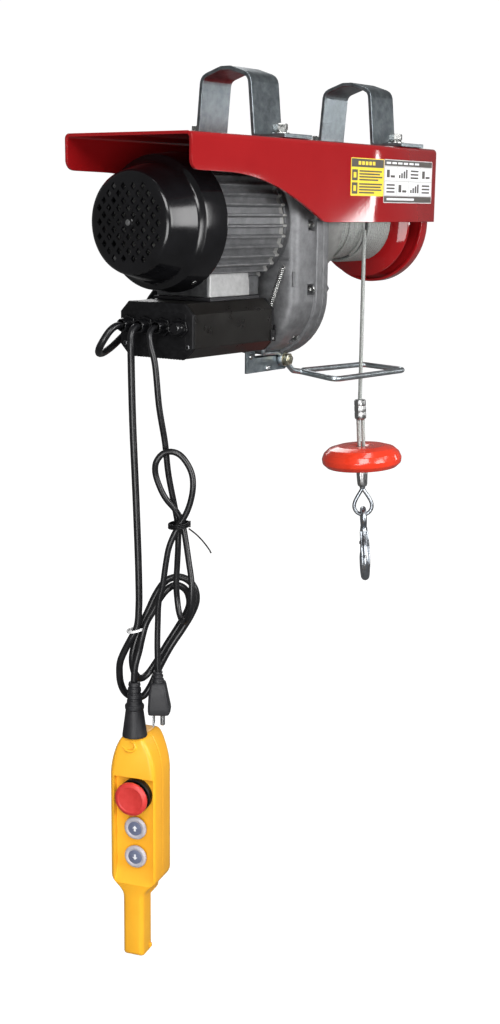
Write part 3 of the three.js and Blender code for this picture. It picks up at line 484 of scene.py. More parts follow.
POWER_ROUTE = [
    (-40, 47, -190), (-36, 47, -207), (-32, 50, -250), (-27, 56, -284), (-24, 60, -315), (-18, 64, -349),
    (-15, 65, -368), (-15, 66, -386), (-16, 69, -406), (-17, 71, -427), (-16, 72, -443), (-14, 69, -455),
    (-11, 64, -461), (-8, 58, -461), (-5, 52, -456), (-2, 47, -446), (-1, 45, -432), (-1, 46, -418),
    (-4, 50, -398), (-7, 55, -380), (-9, 57, -369), (-12, 57, -358), (-18, 56, -348), (-26, 54, -338),
    (-32, 53, -326), (-36, 52, -312), (-35, 50, -302), (-29, 50, -294), (-21, 49, -291.5), (-13, 48, -294),
    (-6, 48, -302), (-1, 48, -313), (0, 47, -325), (-2, 48, -338), (-6, 49, -350),
    (-12, 50, -361), (-18, 50, -372), (-23, 50, -385), (-26, 51, -401), (-29, 52, -422), (-33, 53, -440),
    (-34, 54, -460), (-34.5, 54, -484), (-34, 54, -509.5)]
LEAD_ROUTE = [
    (25.4, 105.5, -176), (24.4, 105.5, -176), (19, 106.3, -176.8), (13, 108, -181), (8.5, 111.5, -189),
    (9, 118, -198), (15, 123.5, -203), (24, 126.5, -203.5), (36, 126.5, -199), (50, 125.5, -190.5), (66, 124.5, -180),
    (80, 124, -168.5), (91, 122.5, -155), (98, 118.5, -145.5), (100.4, 112, -141.6), (100.5, 110, -141.5),
    (100.5, 108.8, -141.5)]


def hung(point):
    """A point of the hanging coils, given as distance across, distance back and height."""
    across, back, z = point
    return (across * math.cos(TURN) + back * math.sin(TURN), back * math.cos(TURN) - across * math.sin(TURN), z)


def from_gland(y, drift):
    return [(25.4, y, -176), (24.5, y, -176), (20, y - drift * 0.12, -177.7), (16, y - drift * 0.5, -182.2)]


def add_cord(name, points, diameter, body, stands_for):
    line = spline(points, 3.0)
    cord = make(name, tube(line, diameter / 2, 14), SHEATH, body, stands_for, angle=60)
    return cord


def wrap(name, centre, radii, height, colour, body, tilt=0.0, wire=0.9, turns=2):
    """A twist tie: a wire wound round a bundle, with the bundle's width and depth as radii."""
    points = []
    count = 24 * turns
    for i in range(count + 1):
        a = TAU * turns * i / count
        across = centre[0] + radii[0] * math.cos(a)
        back = centre[1] + radii[1] * math.sin(a)
        points.append(hung((across, back, centre[2] + height * (i / count - 0.5) + tilt * math.cos(a))))
    return make(name, tube(points, wire, 8), colour, body, angle=60)


def add_plug():
    a, b = -34, 54
    turn = Matrix.Rotation(-TURN, 4, "Z")
    rows = []
    widths = [(-520.5, -6.2, 6.6, 6.6), (-522, -7.4, 7.4, 8), (-524, -7.8, 8, 9), (-534, -9, 9.8, 10.2),
              (-545, -9.6, 12, 10.9), (-549, -9.6, 12.6, 11), (-552, -9.1, 11.2, 10.6), (-552.5, -8.6, 10.4, 10)]
    for z, left, right, deep in widths:
        outline = rounded([(a + left, b - deep), (a + right, b - deep), (a + right, b + deep), (a + left, b + deep)],
                          3.2, 4, closed=True)
        rows.append([(x, y, z) for x, y in outline])
    body = loft(rows)
    neck = [(-509.7, 3.1), (-509.7, 4.5), (-511.5, 4.7), (-512, 4.2), (-513.2, 4.2), (-513.6, 5.2), (-515.4, 5.4),
            (-515.8, 4.7), (-517, 4.7), (-517.4, 5.8), (-519.2, 6), (-519.6, 5.3), (-522, 6.4), (-523, 0)]
    collar = turned([(-509.7, 0)] + neck[1:], "z", (a, b), 32)
    plug = make("plug_body", (body + collar).moved(turn), RUBBER, "pendant", ("plug",), bevel=0.3)
    pins = total([block(a - 4.9, a - 3.4, b - 5.6 + s - 3.1, b - 5.6 + s + 3.1, -565, -552) for s in (0, 11.2)])
    pins = pins + rod(-565.5, -552, 2.4, "z", (a + 4.6, b), 20, edge=0.8)
    metal = make("plug_pins", pins.moved(turn), BRIGHT_STEEL, "pendant", bevel=0.3)
    return [plug, metal]


def add_cables():
    plug = add_plug()
    add_cord("cable_to_pendant", from_gland(84.5, 1.5) + [hung(p) for p in PENDANT_ROUTE], 7, "pendant",
             ("pendant_cable",))
    add_cord("mains_cord", from_gland(63.5, 3.5) + [hung(p) for p in POWER_ROUTE], 6, "pendant",
             ("power_cord",))
    add_cord("motor_cable", LEAD_ROUTE, 7, "frame", ("motor_lead",))
    wrap("tie_pendant", (-56.5, 65.5, -471.5), (8.2, 8.4), 2.5, TIE_WHITE, "pendant", tilt=1.6, wire=0.8)
    wrap("tie_mains", (-13.4, 57.4, -364), (10.2, 12.6), 5, CAP_BLACK, "pendant", tilt=1.0, wire=0.9, turns=3)
    tail = spline([hung(p) for p in ((-4, 50, -366), (2, 48, -370), (9, 48, -377), (16, 47, -386), (17.5, 47, -389))])
    make("tie_mains_tail", tube(tail, 0.8, 8), CAP_BLACK, "pendant", angle=60)


add_cables()


# ---------------------------------------------------------------- red frame
def lower_edge(x):
    """Depth of the channel's flange below its top face."""
    if x < 12:
        t = math.sqrt(max(x, 0) / 12)
        return 22 * (1 - t) ** 2 + 67 * t * (1 - t) + 33.5 * t * t
    if x < 50:
        return 33.5 + 0.5 * (x - 12) / 38
    if x < 214:
        lo, hi = 0.0, 1.0
        for _ in range(30):
            t = (lo + hi) / 2
            px = 50 * (1 - t) ** 3 + 360 * t * (1 - t) ** 2 + 510 * t * t * (1 - t) + 214 * t ** 3
            lo, hi = (t, hi) if px < x else (lo, t)
        return 34 * (1 - t) ** 3 + 103.5 * t * (1 - t) ** 2 + 174 * t * t * (1 - t) + 78.2 * t ** 3
    return min(78.2 + (x - 214) * 0.12, 79)


def channel_section(depth, shrink=0.0):
    r, s, w = 5.0, 3.0, 150.0
    out = [(shrink, -depth + shrink), (shrink, -r)]
    out += [(r - (r - shrink) * math.cos(a), -r + (r - shrink) * math.sin(a)) for a in
            (math.pi / 12 * k for k in range(1, 6))]
    out += [(r, -shrink), (w - r, -shrink)]
    out += [(w - r + (r - shrink) * math.sin(a), -r + (r - shrink) * math.cos(a)) for a in
            (math.pi / 12 * k for k in range(1, 6))]
    out += [(w - shrink, -r), (w - shrink, -depth + shrink), (w - s + shrink, -depth + shrink),
            (w - s + shrink, -5), (w - 5, -s + shrink), (5, -s + shrink), (s - shrink, -5),
            (s - shrink, -depth + shrink)]
    return out


def add_red_frame():
    xs = [0, 0.1, 0.4, 1, 2, 3.5, 5.5, 8, 12, 30, 50] + [50 + 164 * k / 40 for k in range(1, 41)]
    xs += [218, 222, 226, 300, 439.6, 440]
    rows = []
    for x in xs:
        shrink = 0.4 if x in (0, 440) else 0.0
        rows.append([(x, y, z) for y, z in channel_section(lower_edge(min(x, 226)), shrink)])
    make("channel", loft(rows), RED, "frame", ("channel_frame",), angle=50, bevel=0.5)

    def outline(half, top):
        arc = circle(half, (MID_Y, AXIS_Z), 41, math.pi, math.pi)
        return [(MID_Y - half, top)] + arc + [(MID_Y + half, top)]

    shapes = [outline(64, -6), outline(64, -6), outline(64, -6), outline(67, -3.5), outline(67, -3.3),
              outline(66.4, -3.6)]
    xs = [437, 431, 426, 426, 438.6, 440]
    shell = [[(x, y, z) for y, z in o] for x, o in zip(xs, shapes)]
    plate = make("end_plate_shell", loft(shell), RED, "frame", ("end_plate",), bevel=0.7)
    carve(plate, rod(420, 450, 16.4))
    screws = []
    for a in (35, 145, 215, 325):
        y, z = MID_Y + 31 * math.cos(math.radians(a)), AXIS_Z + 31 * math.sin(math.radians(a))
        screws.append(turned([(436, 0), (436, 4.2), (437.6, 4.2), (438.9, 3.2), (439.3, 1.6), (439.3, 0)], "x",
                             (y, z), 20))
    make("end_plate_screws", total(screws), BOLT_STEEL, "frame")


def strap_sections():
    left = [(-72, 2.3), (-34.1, 2.3), (-29.3, 53.5), (-28.3, 56.8), (-26.2, 59.5), (-22.6, 61.4), (-5.5, 67)]
    line = left + [(-y, z) for y, z in reversed(left)]
    radii = [0, 3.4, 5, 3.5, 3.5, 5, 7, 7, 5, 3.5, 3.5, 5, 3.4, 0]
    centre = rounded([(MID_Y + y, z) for y, z in line], radii, 6)
    return offset(centre, 2), offset(centre, -2)


def add_hangers():
    over, under = strap_sections()
    count = 1
    for i, x in enumerate((171, 392)):
        strap = make(f"strap_{i + 1}", prism(over + under[::-1], "x", x - 23.5, x + 23.5), ZINC, "frame",
                     (f"hanger_strap_{i + 1}",), angle=30, bevel=0.6)
        for y in (25, 125):
            c = (x, y)
            carve(strap, rod(-2, 12, 4.5, "z", c, 24))
            washer = turned([(4.6, 4.2), (4.6, 8.8), (4.8, 9), (6, 9), (6.2, 8.8), (6.2, 4.2)], "z", c, 32, True)
            coil = tube([(x + 5.5 * math.cos(a), y + 5.5 * math.sin(a), 7.4 + 0.5 * (a / TAU - 0.5))
                         for a in (3.9 + 0.95 * TAU * k / 30 for k in range(31))], 1.05, 8)
            head = loft([[(p, q, z) for p, q in hexagon(r, c, 0.3)] for z, r in
                         ((8.5, 7.2), (8.8, 7.5), (13.8, 7.5), (14.5, 6.8), (14.8, 6), (14.8, 5.6), (14.3, 5))])
            nut = loft([[(p, q, z) for p, q in hexagon(r, c, 0.5)] for z, r in
                        ((-9.8, 6.6), (-9.2, 7.5), (-4.0, 7.5), (-3.4, 7.1))])
            thread = tube(helix(-13.6, -9.8, 3.75, 3.5, "z", c, 20), 0.45, 6)
            shank = rod(-13.8, 9, 3.7, "z", c, 24, edge=0.6)
            make(f"bolt_{count}", washer + coil + head + nut + thread + shank, BOLT_STEEL, "frame",
                 (f"hanger_bolt_{count}",), bevel=0.25)
            count += 1


def add_labels():
    def sheet(x0, x1, z0, z1, layer=0):
        y = -0.08 - 0.07 * layer
        corners = [(x0, z0), (x1, z0), (x1, z1), (x0, z1)]
        outline = rounded(corners, 1.2 if layer == 0 else 0.2, 3, closed=True)
        return prism([(p[1], p[0]) for p in outline], "y", y - 0.07, y + 0.07)

    make("label_yellow_sheet", sheet(262, 327, -52.4, -14.4), LABEL_YELLOW, "frame")
    dark = [sheet(262.8, 326.2, -23.5, -15.2, 1), sheet(264, 275, -50.4, -39, 1), sheet(264, 275, -37, -26, 1)]
    for k, width in enumerate((45, 41, 46, 38)):
        dark.append(sheet(278, 278 + width, -28.2 - 2.9 * k, -26.6 - 2.9 * k, 1))
    for k, width in enumerate((46, 43, 45, 30)):
        dark.append(sheet(278, 278 + width, -41.2 - 2.9 * k, -39.6 - 2.9 * k, 1))
    make("label_yellow_print", total(dark), LABEL_DARK, "frame")
    marks = [sheet(276 + 7 * k, 281 + 7 * k, -21.2, -17.6, 2) for k in range(5)]
    marks += [sheet(267, 272, -47.6, -42, 2), sheet(267, 272, -34.2, -28.8, 2)]
    make("label_yellow_marks", total(marks), LABEL_YELLOW, "frame")

    make("label_grey_sheet", sheet(327.6, 431, -59, -14), LABEL_GREY, "frame")
    dark = [sheet(328.4, 430.2, -20.5, -14.8, 1), sheet(328.4, 430.2, -58.2, -52, 1)]
    light = []
    for column, x in enumerate((330, 355.2, 380.4, 405.6)):
        for row, z in enumerate((-35.6, -50.8)):
            light.append(sheet(x, x + 23.6, z, z + 13.8, 1))
            shape = (column + 2 * row) % 3
            if shape == 0:
                dark.append(sheet(x + 3, x + 9, z + 3, z + 11, 2))
                dark.append(sheet(x + 11, x + 20, z + 3, z + 5.4, 2))
            elif shape == 1:
                dark += [sheet(x + 3 + 5 * k, x + 6.4 + 5 * k, z + 2.6, z + 6 + 2 * k, 2) for k in range(4)]
            else:
                dark += [sheet(x + 3, x + 20, z + 2.4 + 3.6 * k, z + 4.2 + 3.6 * k, 2) for k in range(3)]
    make("label_grey_cells", total(light), WHITE, "frame")
    make("label_grey_print", total(dark), LABEL_DARK, "frame")
    make("label_grey_marks", total([sheet(332 + 12 * k, 341 + 12 * k, -18.6, -16.6, 2) for k in range(6)]
                                   + [sheet(334, 392, -56.2, -54, 2)]), WHITE, "frame")


# ---------------------------------------------------------------- motor
def add_fan_cover():
    skin = [(2, 0), (2, 40.6), (2.4, 43.2), (3.6, 45.6), (5.2, 47.2), (7.4, 48.1), (34, 54.4), (36, 55.6), (37.4, 57.6),
            (38.4, 60.2), (39.2, 61.8), (40.6, 62.6), (64.6, 65.2), (65.6, 65.5), (66.6, 65.4), (67, 64.9), (67, 63),
            (42, 60), (40, 58.4), (37, 55), (33, 52), (8, 45.4), (4.6, 41), (4.6, 0)]
    cowl = make("fan_cowl", turned(skin, segments=96), GLOSS_BLACK, "frame", ("fan_cover",), angle=28,
                bevel=0.25)
    holes = []
    for row in range(-6, 7):
        z = AXIS_Z + 6.5 * row
        for k in range(-5, 6):
            y = MID_Y + 11.6 * (k + (0.5 if row % 2 else 0))
            r = math.hypot(y - MID_Y, z - AXIS_Z)
            if 8.5 < r < 38.5:
                holes.append(prism([(y - 3.1, z), (y, z - 3.8), (y + 3.1, z), (y, z + 3.8)], "x", 0, 8))
    carve(cowl, total(holes))
    ring = turned([(1.8, 5.6), (1.4, 5.2), (1.4, 3.2), (2.2, 3)], segments=32)
    make("fan_cowl_boss", ring, GLOSS_BLACK, "frame")
    screw = turned([(1.0, 0), (1.0, 1.8), (1.4, 2.8), (2.2, 3.1), (2.4, 0)], segments=24)
    make("fan_cowl_screw", screw, BRIGHT_STEEL, "frame")
    side = []
    for a in (58, 122, 238, 302):
        y, z = MID_Y + 64.3 * math.cos(math.radians(a)), AXIS_Z + 64.3 * math.sin(math.radians(a))
        side.append(tube([(56, y, z), (56, MID_Y + (y - MID_Y) * 1.012, AXIS_Z + (z - AXIS_Z) * 1.012)], 3.2, 16))
    make("fan_cowl_screws", total(side), BOLT_STEEL, "frame", bevel=0.4)


def finned(x0, x1, root, tip):
    """A ring of straight cooling fins between two stations of the motor."""
    rows = []
    for x, top in ((x0, tip - 0.9), (x0 + 1, tip), (x1 - 0.8, tip), (x1, tip - 0.8)):
        ring = []
        for i in range(36):
            a = TAU * (i + 0.25) / 36
            for r, da in ((root, -0.034), (root + 1, -0.026), (top - 0.6, -0.021), (top, -0.012), (top, 0.012),
                          (top - 0.6, 0.021), (root + 1, 0.026), (root, 0.034)):
                ring.append((x, MID_Y + r * math.cos(a + da), AXIS_Z + r * math.sin(a + da)))
        rows.append(ring)
    return loft(rows)


def add_motor():
    make("motor_body", finned(67.3, 165.4, 55, 59.5), CAST, "frame", ("motor_housing",), angle=25)
    # The fin ends take the paler cast finish as a painted highlight, standing in for reflections on the end-ring
    # chamfers.
    make("motor_fin_ends_painted_highlight", finned(165.5, 171.6, 55, 59.5), CAST_PALE_AND_HIGHLIGHT, "frame", angle=25)
    seat = turned([(168, 50), (168, 54.6), (171.8, 54.6), (172.7, 54), (172.7, 50)], segments=96)
    make("motor_seat", seat, CAST_DARK_AND_SHADE, "frame", bevel=0.3)
    foot = loft([[(x, y, z) for x, y in rounded([(82.5 + i, 42 + i), (147 - i, 42 + i), (147 - i, 108 - i),
                                                 (82.5 + i, 108 - i)], 2, 4, closed=True)]
                 for z, i in ((-150, 0.6), (-149.4, 0), (-136, 0.3), (-121, 1.6))])
    make("motor_foot", foot, FOOT_CAST, "frame", bevel=0.7, segments=3)
    heel = block(147.2, 163, 43, 60, -150, -131) + block(147.2, 163, 90, 107, -150, -131)
    # A dark sheet on the foot's motor-end face: painted shadow cast by the fan cover.
    make("motor_foot_painted_shadow", block(80.6, 82.4, 44, 106, -149.6, -126), CAST_DARK_AND_SHADE, "frame", bevel=0.6)
    make("motor_foot_heels", heel, CAST_DARK_AND_SHADE, "frame", bevel=1.0)
    nut = turned([(107.8, 0), (107.8, 8), (110.6, 8), (111, 7.4), (111, 4)], "y", (-141.5, 100.5), 6)
    make("motor_entry_nut", nut, CAP_BLACK, "frame", bevel=0.4)


# ---------------------------------------------------------------- gearbox
def stadium(r, n=24):
    upper = circle(r, (MID_Y, AXIS_Z), n + 1, 0, math.pi)
    lower = circle(r, (MID_Y, LOBE_Z), n + 1, math.pi, math.pi)
    return upper + lower


def screw_at(x, y, z, r=3.4, proud=2.2):
    """Socket screw head facing the motor end."""
    return turned([(x + 0.4, 0), (x + 0.4, r), (x - proud + 0.5, r), (x - proud, r - 0.5), (x - proud, r * 0.55),
                   (x - proud + 1.4, r * 0.5), (x - proud + 1.4, 0)], "x", (y, z), 20)


def add_gearbox():
    edge = [(184, 45), (184.3, 51), (185.4, 55), (187.6, 58), (190.6, 60), (194, 60.8), (218.4, 60.9), (219, 63.4),
            (220, 64), (229.8, 64), (230.7, 63.2)]
    rows = [[(x, y, z) for y, z in stadium(r)] for x, r in edge]
    rows.insert(0, [(184, y, z) for y, z in stadium(20)])
    body = make("gearbox_body", loft(rows), CAST, "frame", ("gearbox_housing",), angle=30)
    places = [(MID_Y + side * (MID_Y - y), z) for side in (-1, 1) for y, z in ((18.1, -81.8), (15.8, -145.9),
                                                            (35.2, -195.2))]
    for y, z in places:
        middle = Vector((MID_Y, min(AXIS_Z, max(LOBE_Z, z))))
        spot = Vector((y, z))
        out = (spot - middle).normalized()
        side = Vector((-out.y, out.x))
        turns = [math.pi * k / 10 for k in range(11)]
        line = [spot - out * (5.6 * math.sin(t)) + side * (5.6 * math.cos(t)) for t in turns]
        line += [spot + out * 14 - side * 5.6, spot + out * 14 + side * 5.6]
        carve(body, prism([tuple(p) for p in line], "x", 207, 218.8))
    flange = turned([(173, 16.5), (173, 55), (174, 56), (181, 56), (184.4, 54), (184.4, 16.5)], segments=80)
    make("gearbox_flange", flange, CAST_DARK_AND_SHADE, "frame", bevel=0.4)
    pad = loft([[(x, y, z) for x, y in rounded([(192 + i, 45 + i), (226 - i, 45 + i), (226 - i, 105 - i),
                                                (192 + i, 105 - i)], 4, 4, closed=True)]
                for z, i in ((-27, -1.4), (-24, 0), (-4.2, 0), (-3.3, 0.7))])
    make("gearbox_pad", pad, CAST, "frame")
    ribs = total([block(182.9, 184.6, 20, 58, -116.2, -113.8), block(182.9, 184.6, 92, 130, -116.2, -113.8),
                  block(183, 185.4, 14.4, 17, -142, -128), block(183, 185.4, 133, 135.6, -142, -128)])
    make("gearbox_ribs", ribs, CAST, "frame", bevel=0.6)
    cover = [(231, 60), (231, 63.4), (231.8, 64.1), (238.6, 64.1), (240.4, 63.5), (241, 62)]
    rows = [[(x, y, z) for y, z in stadium(r)] for x, r in cover]
    rows.append([(241, y, z) for y, z in stadium(20)])
    make("gearbox_lid", loft(rows), CAST, "frame", ("gearbox_cover",), angle=30)
    neck = turned([(240.5, 60.6), (242, 59.9), (273, 59.8), (274, 59), (274, 54), (240.5, 54)], segments=80)
    make("gearbox_neck", neck, CAST_PALE_AND_HIGHLIGHT, "frame", bevel=0.3)
    hub = turned([(240.8, 25.6), (242.4, 24), (252.6, 24), (254, 23), (254, 16.2), (240.8, 16.2)], segments=48)
    make("gearbox_hub", hub, CAST_PALE_AND_HIGHLIGHT, "frame", bevel=0.3)
    lugs = total([rod(219.6, 240.8, 4.7, "x", c, 24, edge=0.6) for c in places])
    make("gearbox_lugs", lugs, CAST, "frame", angle=30)
    make("gearbox_screws", total([screw_at(219.4, y, z, 3.6, 2.8) for y, z in places]), BOLT_STEEL, "frame",
         angle=30)
    make("gearbox_bolt_ends", total([rod(240.4, 244.4, 4, "x", c, 6, edge=0.4) for c in places]), DARK_STEEL, "frame",
         angle=30)
    front = [screw_at(174.4, MID_Y + 50 * math.cos(math.radians(a)), AXIS_Z + 50 * math.sin(math.radians(a)), 2.8, 1.2)
             for a in (205, 250, 290, 335, 25, 155)]
    make("flange_screws", total(front), BOLT_STEEL, "frame")


# ---------------------------------------------------------------- drum and rope
def add_drum():
    left = turned([(207, 0), (207, 9.4), (207.6, 10), (268, 10), (268, 52.7), (268.6, 53.3), (270.4, 53.5),
                   (276.6, 53.3), (277.2, 52.6), (277.2, 34.5), (276.6, 33), (398, 33), (400.4, 36), (401, 42),
                   (407.4, 59.2), (408.4, 60.4), (410.4, 60.5), (411, 59.8), (411, 58.4), (404, 42), (403, 29),
                   (279, 29), (279, 10), (437.4, 10), (438, 9.4), (438, 0)], segments=96)
    make("drum_shell", left, RED, "drum_body", ("drum",), angle=30)
    spokes = []
    for k in range(3):
        a = TAU * k / 3 + 0.4
        spokes.append(tube([(268.2, MID_Y + 38 * math.cos(a), AXIS_Z + 38 * math.sin(a)),
                            (266.6, MID_Y + 38 * math.cos(a), AXIS_Z + 38 * math.sin(a))], 4, 6))
    make("drum_screws", total(spokes), BOLT_STEEL, "drum_body", bevel=0.4)
    low = helix(280, 351.6, 37.5, 15.8, start=1.2)
    high = helix(354.4, 397.6, 41.4, 9.5, start=1.2)
    cross = tube(helix(280.4, 350, 40.2, 2.6, start=0.4), 2.1, 9)
    core = turned([(277.6, 33.4), (277.6, 36.4), (352.6, 36.4), (352.9, 40.2), (399.6, 40.2), (399.6, 33.4)],
                  segments=64)
    make("rope_turns", tube(low, 2.22, 9), STRAND_WIRE, "drum_body", ("rope_winding",), angle=80)
    make("rope_turns_high", tube(high, 2.22, 9), STRAND_WIRE, "drum_body", angle=80)
    make("rope_turns_cross", cross, STRAND_WIRE, "drum_body", angle=80)
    make("rope_bed", core, DARK_STEEL, "drum_body")


def twisted(start, end, r, pitch, strands=6, step=1.3):
    """A straight stranded rope between two points."""
    a, b = Vector(start), Vector(end)
    along = (b - a).normalized()
    u = along.cross(Vector((1, 0, 0))).normalized()
    v = along.cross(u)
    length = (b - a).length
    count = int(length / step)
    wire = r * 0.36
    shapes = [tube([a + (b - a) * k / count for k in range(count + 1)], r * 0.5, 8)]
    for s in range(strands):
        points = []
        for k in range(count + 1):
            t = k / count
            angle = TAU * (s / strands + length * t / pitch)
            points.append(a + (b - a) * t + (u * math.cos(angle) + v * math.sin(angle)) * (r - wire))
        shapes.append(tube(points, wire, 6))
    return total(shapes)


LEAN = (Matrix.Translation((341.5, 30.75, -272))
        @ Matrix.Rotation(-math.radians(3.2), 4, Vector((math.sin(TURN), math.cos(TURN), 0)))
        @ Matrix.Rotation(-TURN, 4, "Z"))


def bezier(p0, p1, p2, p3, n=8):
    out = []
    for k in range(n):
        t = k / n
        out.append(tuple((1 - t) ** 3 * a + 3 * t * (1 - t) ** 2 * b + 3 * t * t * (1 - t) * c + t ** 3 * d
                         for a, b, c, d in zip(p0, p1, p2, p3)))
    return out


def add_rope_end():
    rope = make("fall_rope", twisted((341.5, 30.75, -88), (341.5, 30.75, -271.8), 2.25, 15), STRAND_WIRE, None,
                ("hoist_rope",), angle=70)
    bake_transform(rope)

    def ferrule(profile, flutes, depth):
        rows = []
        for z, r in profile:
            row = []
            for k in range(flutes * 6):
                a = TAU * k / (flutes * 6)
                dip = depth * max(0.0, math.cos(flutes * a)) if 5.6 < r else 0.0
                row.append(((r - dip) * math.cos(a), (r - dip) * math.sin(a), z))
            rows.append(row)
        return loft(rows)

    upper = ferrule([(0, 3.4), (0, 5.4), (-1, 6.5), (-6, 6.6), (-7, 6.2), (-8, 6.6), (-13, 6.6), (-14, 6.2), (-15, 6.6),
                     (-20.4, 6.5), (-21.8, 5.4), (-21.8, 3.4)], 8, 0.7)
    make("crimp_upper", upper.moved(LEAN), FERRULE, "rope_end", ("upper_ferrule",), angle=40)
    live = twisted((2.5, 0, -21.9), (2.5, 0, -77.9), 2.25, 13)
    dead = twisted((-2.5, 0, -21.9), (-2.5, 0, -77.9), 2.25, 13)
    make("strand_live", live.moved(LEAN), STRAND_WIRE, "rope_end", ("rope_strand_live",), angle=70)
    make("strand_dead", dead.moved(LEAN), STRAND_WIRE, "rope_end", ("rope_strand_dead",), angle=70)
    disc = rounded([(-52.6, 5.3), (-51.6, 9), (-51, 14), (-51.2, 27), (-54, 36.4), (-59, 42), (-65, 44.5),
                    (-70.6, 43.8), (-75.4, 38.6), (-77.8, 26), (-78, 5.3)], 3.5, 4)
    make("disc", turned(disc, "z", (0, 0), 96, True).moved(LEAN), ORANGE, "rope_end", ("stop_disc",),
         angle=50)
    lower = ferrule([(-78.3, 3), (-78.3, 6), (-79.2, 6.3), (-84, 6.3), (-90, 6), (-95, 5.6), (-97, 5), (-97.8, 4),
                     (-97.8, 2)], 7, 0.5)
    make("crimp_lower", lower.moved(LEAN), FERRULE, "rope_end", ("lower_ferrule",), angle=40)
    drop = bezier((0, -99.6), (-3, -106), (-10, -113.5), (-10, -120.3), 9)
    drop += [(10 * math.cos(a), -120.3 + 10 * math.sin(a)) for a in (math.pi + math.pi * k / 16 for k in range(17))]
    drop += bezier((10, -120.3), (10, -113.5), (3, -106), (0, -99.6), 9)[1:]
    ring = tube([(x, 0, z) for x, z in drop], 2.35, 12, closed=True, flat=0.92)
    neck = tube([(0, 0, -97.5), (0, 0, -101)], lambda t: 3.4 - 0.6 * t, 16)
    make("thimble_ring", (ring + neck).moved(LEAN), CHROME, "rope_end", ("thimble",), angle=60)


def add_hook():
    eye = tube([(0, 9.5 * math.sin(a), -133.6 + 9.5 * math.cos(a)) for a in (TAU * k / 48 for k in range(48))], 3.3, 16,
               closed=True)
    bowl = spline([(0, 0, -143), (0, -1, -150), (0, -5, -157), (0, -11, -165), (0, -15, -175), (0, -15.5, -185),
                   (0, -11.5, -194.8), (0, -2, -201.4), (0, 8.5, -199.6), (0, 15, -192), (0, 16, -183),
                   (0, 19, -175)], 1.6)

    def girth(t):
        if t < 0.08:
            return 3.6 + t * 14
        if t > 0.93:
            return 4.5 * math.sqrt(max(0.02, 1 - ((t - 0.93) / 0.07) ** 2))
        return 4.72 + 0.08 * math.sin(math.pi * t)

    make("hook_body_forged", (eye + tube(bowl, girth, 16)).moved(LEAN), CHROME, "hook_body", ("hook",),
         angle=60)
    rails = [tube(spline([(s * 3.7, -4.6, -149), (s * 3.9, -8.4, -157), (s * 3.9, -14.2, -165.5),
                          (s * 3.9, -18.2, -175), (s * 3.7, -18.8, -185), (s * 3, -16.6, -193)], 1.6), 1.25, 10) for s in (-1, 1)]
    make("hook_rails", total(rails).moved(LEAN), CHROME, "hook_body", angle=60)
    inset = prism([(-10.8, -158), (-17.8, -169.5), (-16.6, -170), (-9.6, -158.6)], "x", -2.5, 2.5)
    make("hook_inset", inset.moved(LEAN), BLUED, "hook_body")
    pin = rod(-21, -17.6, 1.7, "y", (-174, 0), 16, edge=0.5)
    make("hook_pin", pin.moved(LEAN), BRIGHT_STEEL, "hook_body")
    bar = [(0.6, -160.5), (4.1, -160.5), (12.4, -172.5), (13.2, -176.5), (10.6, -178.2), (-1, -164.6)]
    line = rounded(bar, 1.2, 3, closed=True)
    plate = prism(line, "x", -4, 4)
    make("latch_plate", plate.moved(LEAN), CHROME, "latch_body", ("hook_latch",), bevel=0.5)
    rivet = rod(-5.4, 5.4, 2, "x", (1.6, -163), 20, edge=0.6)
    coil = tube(helix(-2.6, 2.6, 2.5, 4, "x", (1.6, -163), 20), 0.4, 6)
    make("latch_rivet", (rivet + coil).moved(LEAN), BRIGHT_STEEL, "latch_body")


# ---------------------------------------------------------------- control box
def octagon(inset=0.0, cut=10.0):
    y0, y1, z0, z1 = 30 + inset, 118 - inset, -205.3 + inset, -153.7 - inset
    c = cut - inset * 0.586
    return [(y0 + c, z0), (y1 - c, z0), (y1, z0 + c), (y1, z1 - c),
            (y1 - c, z1), (y0 + c, z1), (y0, z1 - c), (y0, z0 + c)]


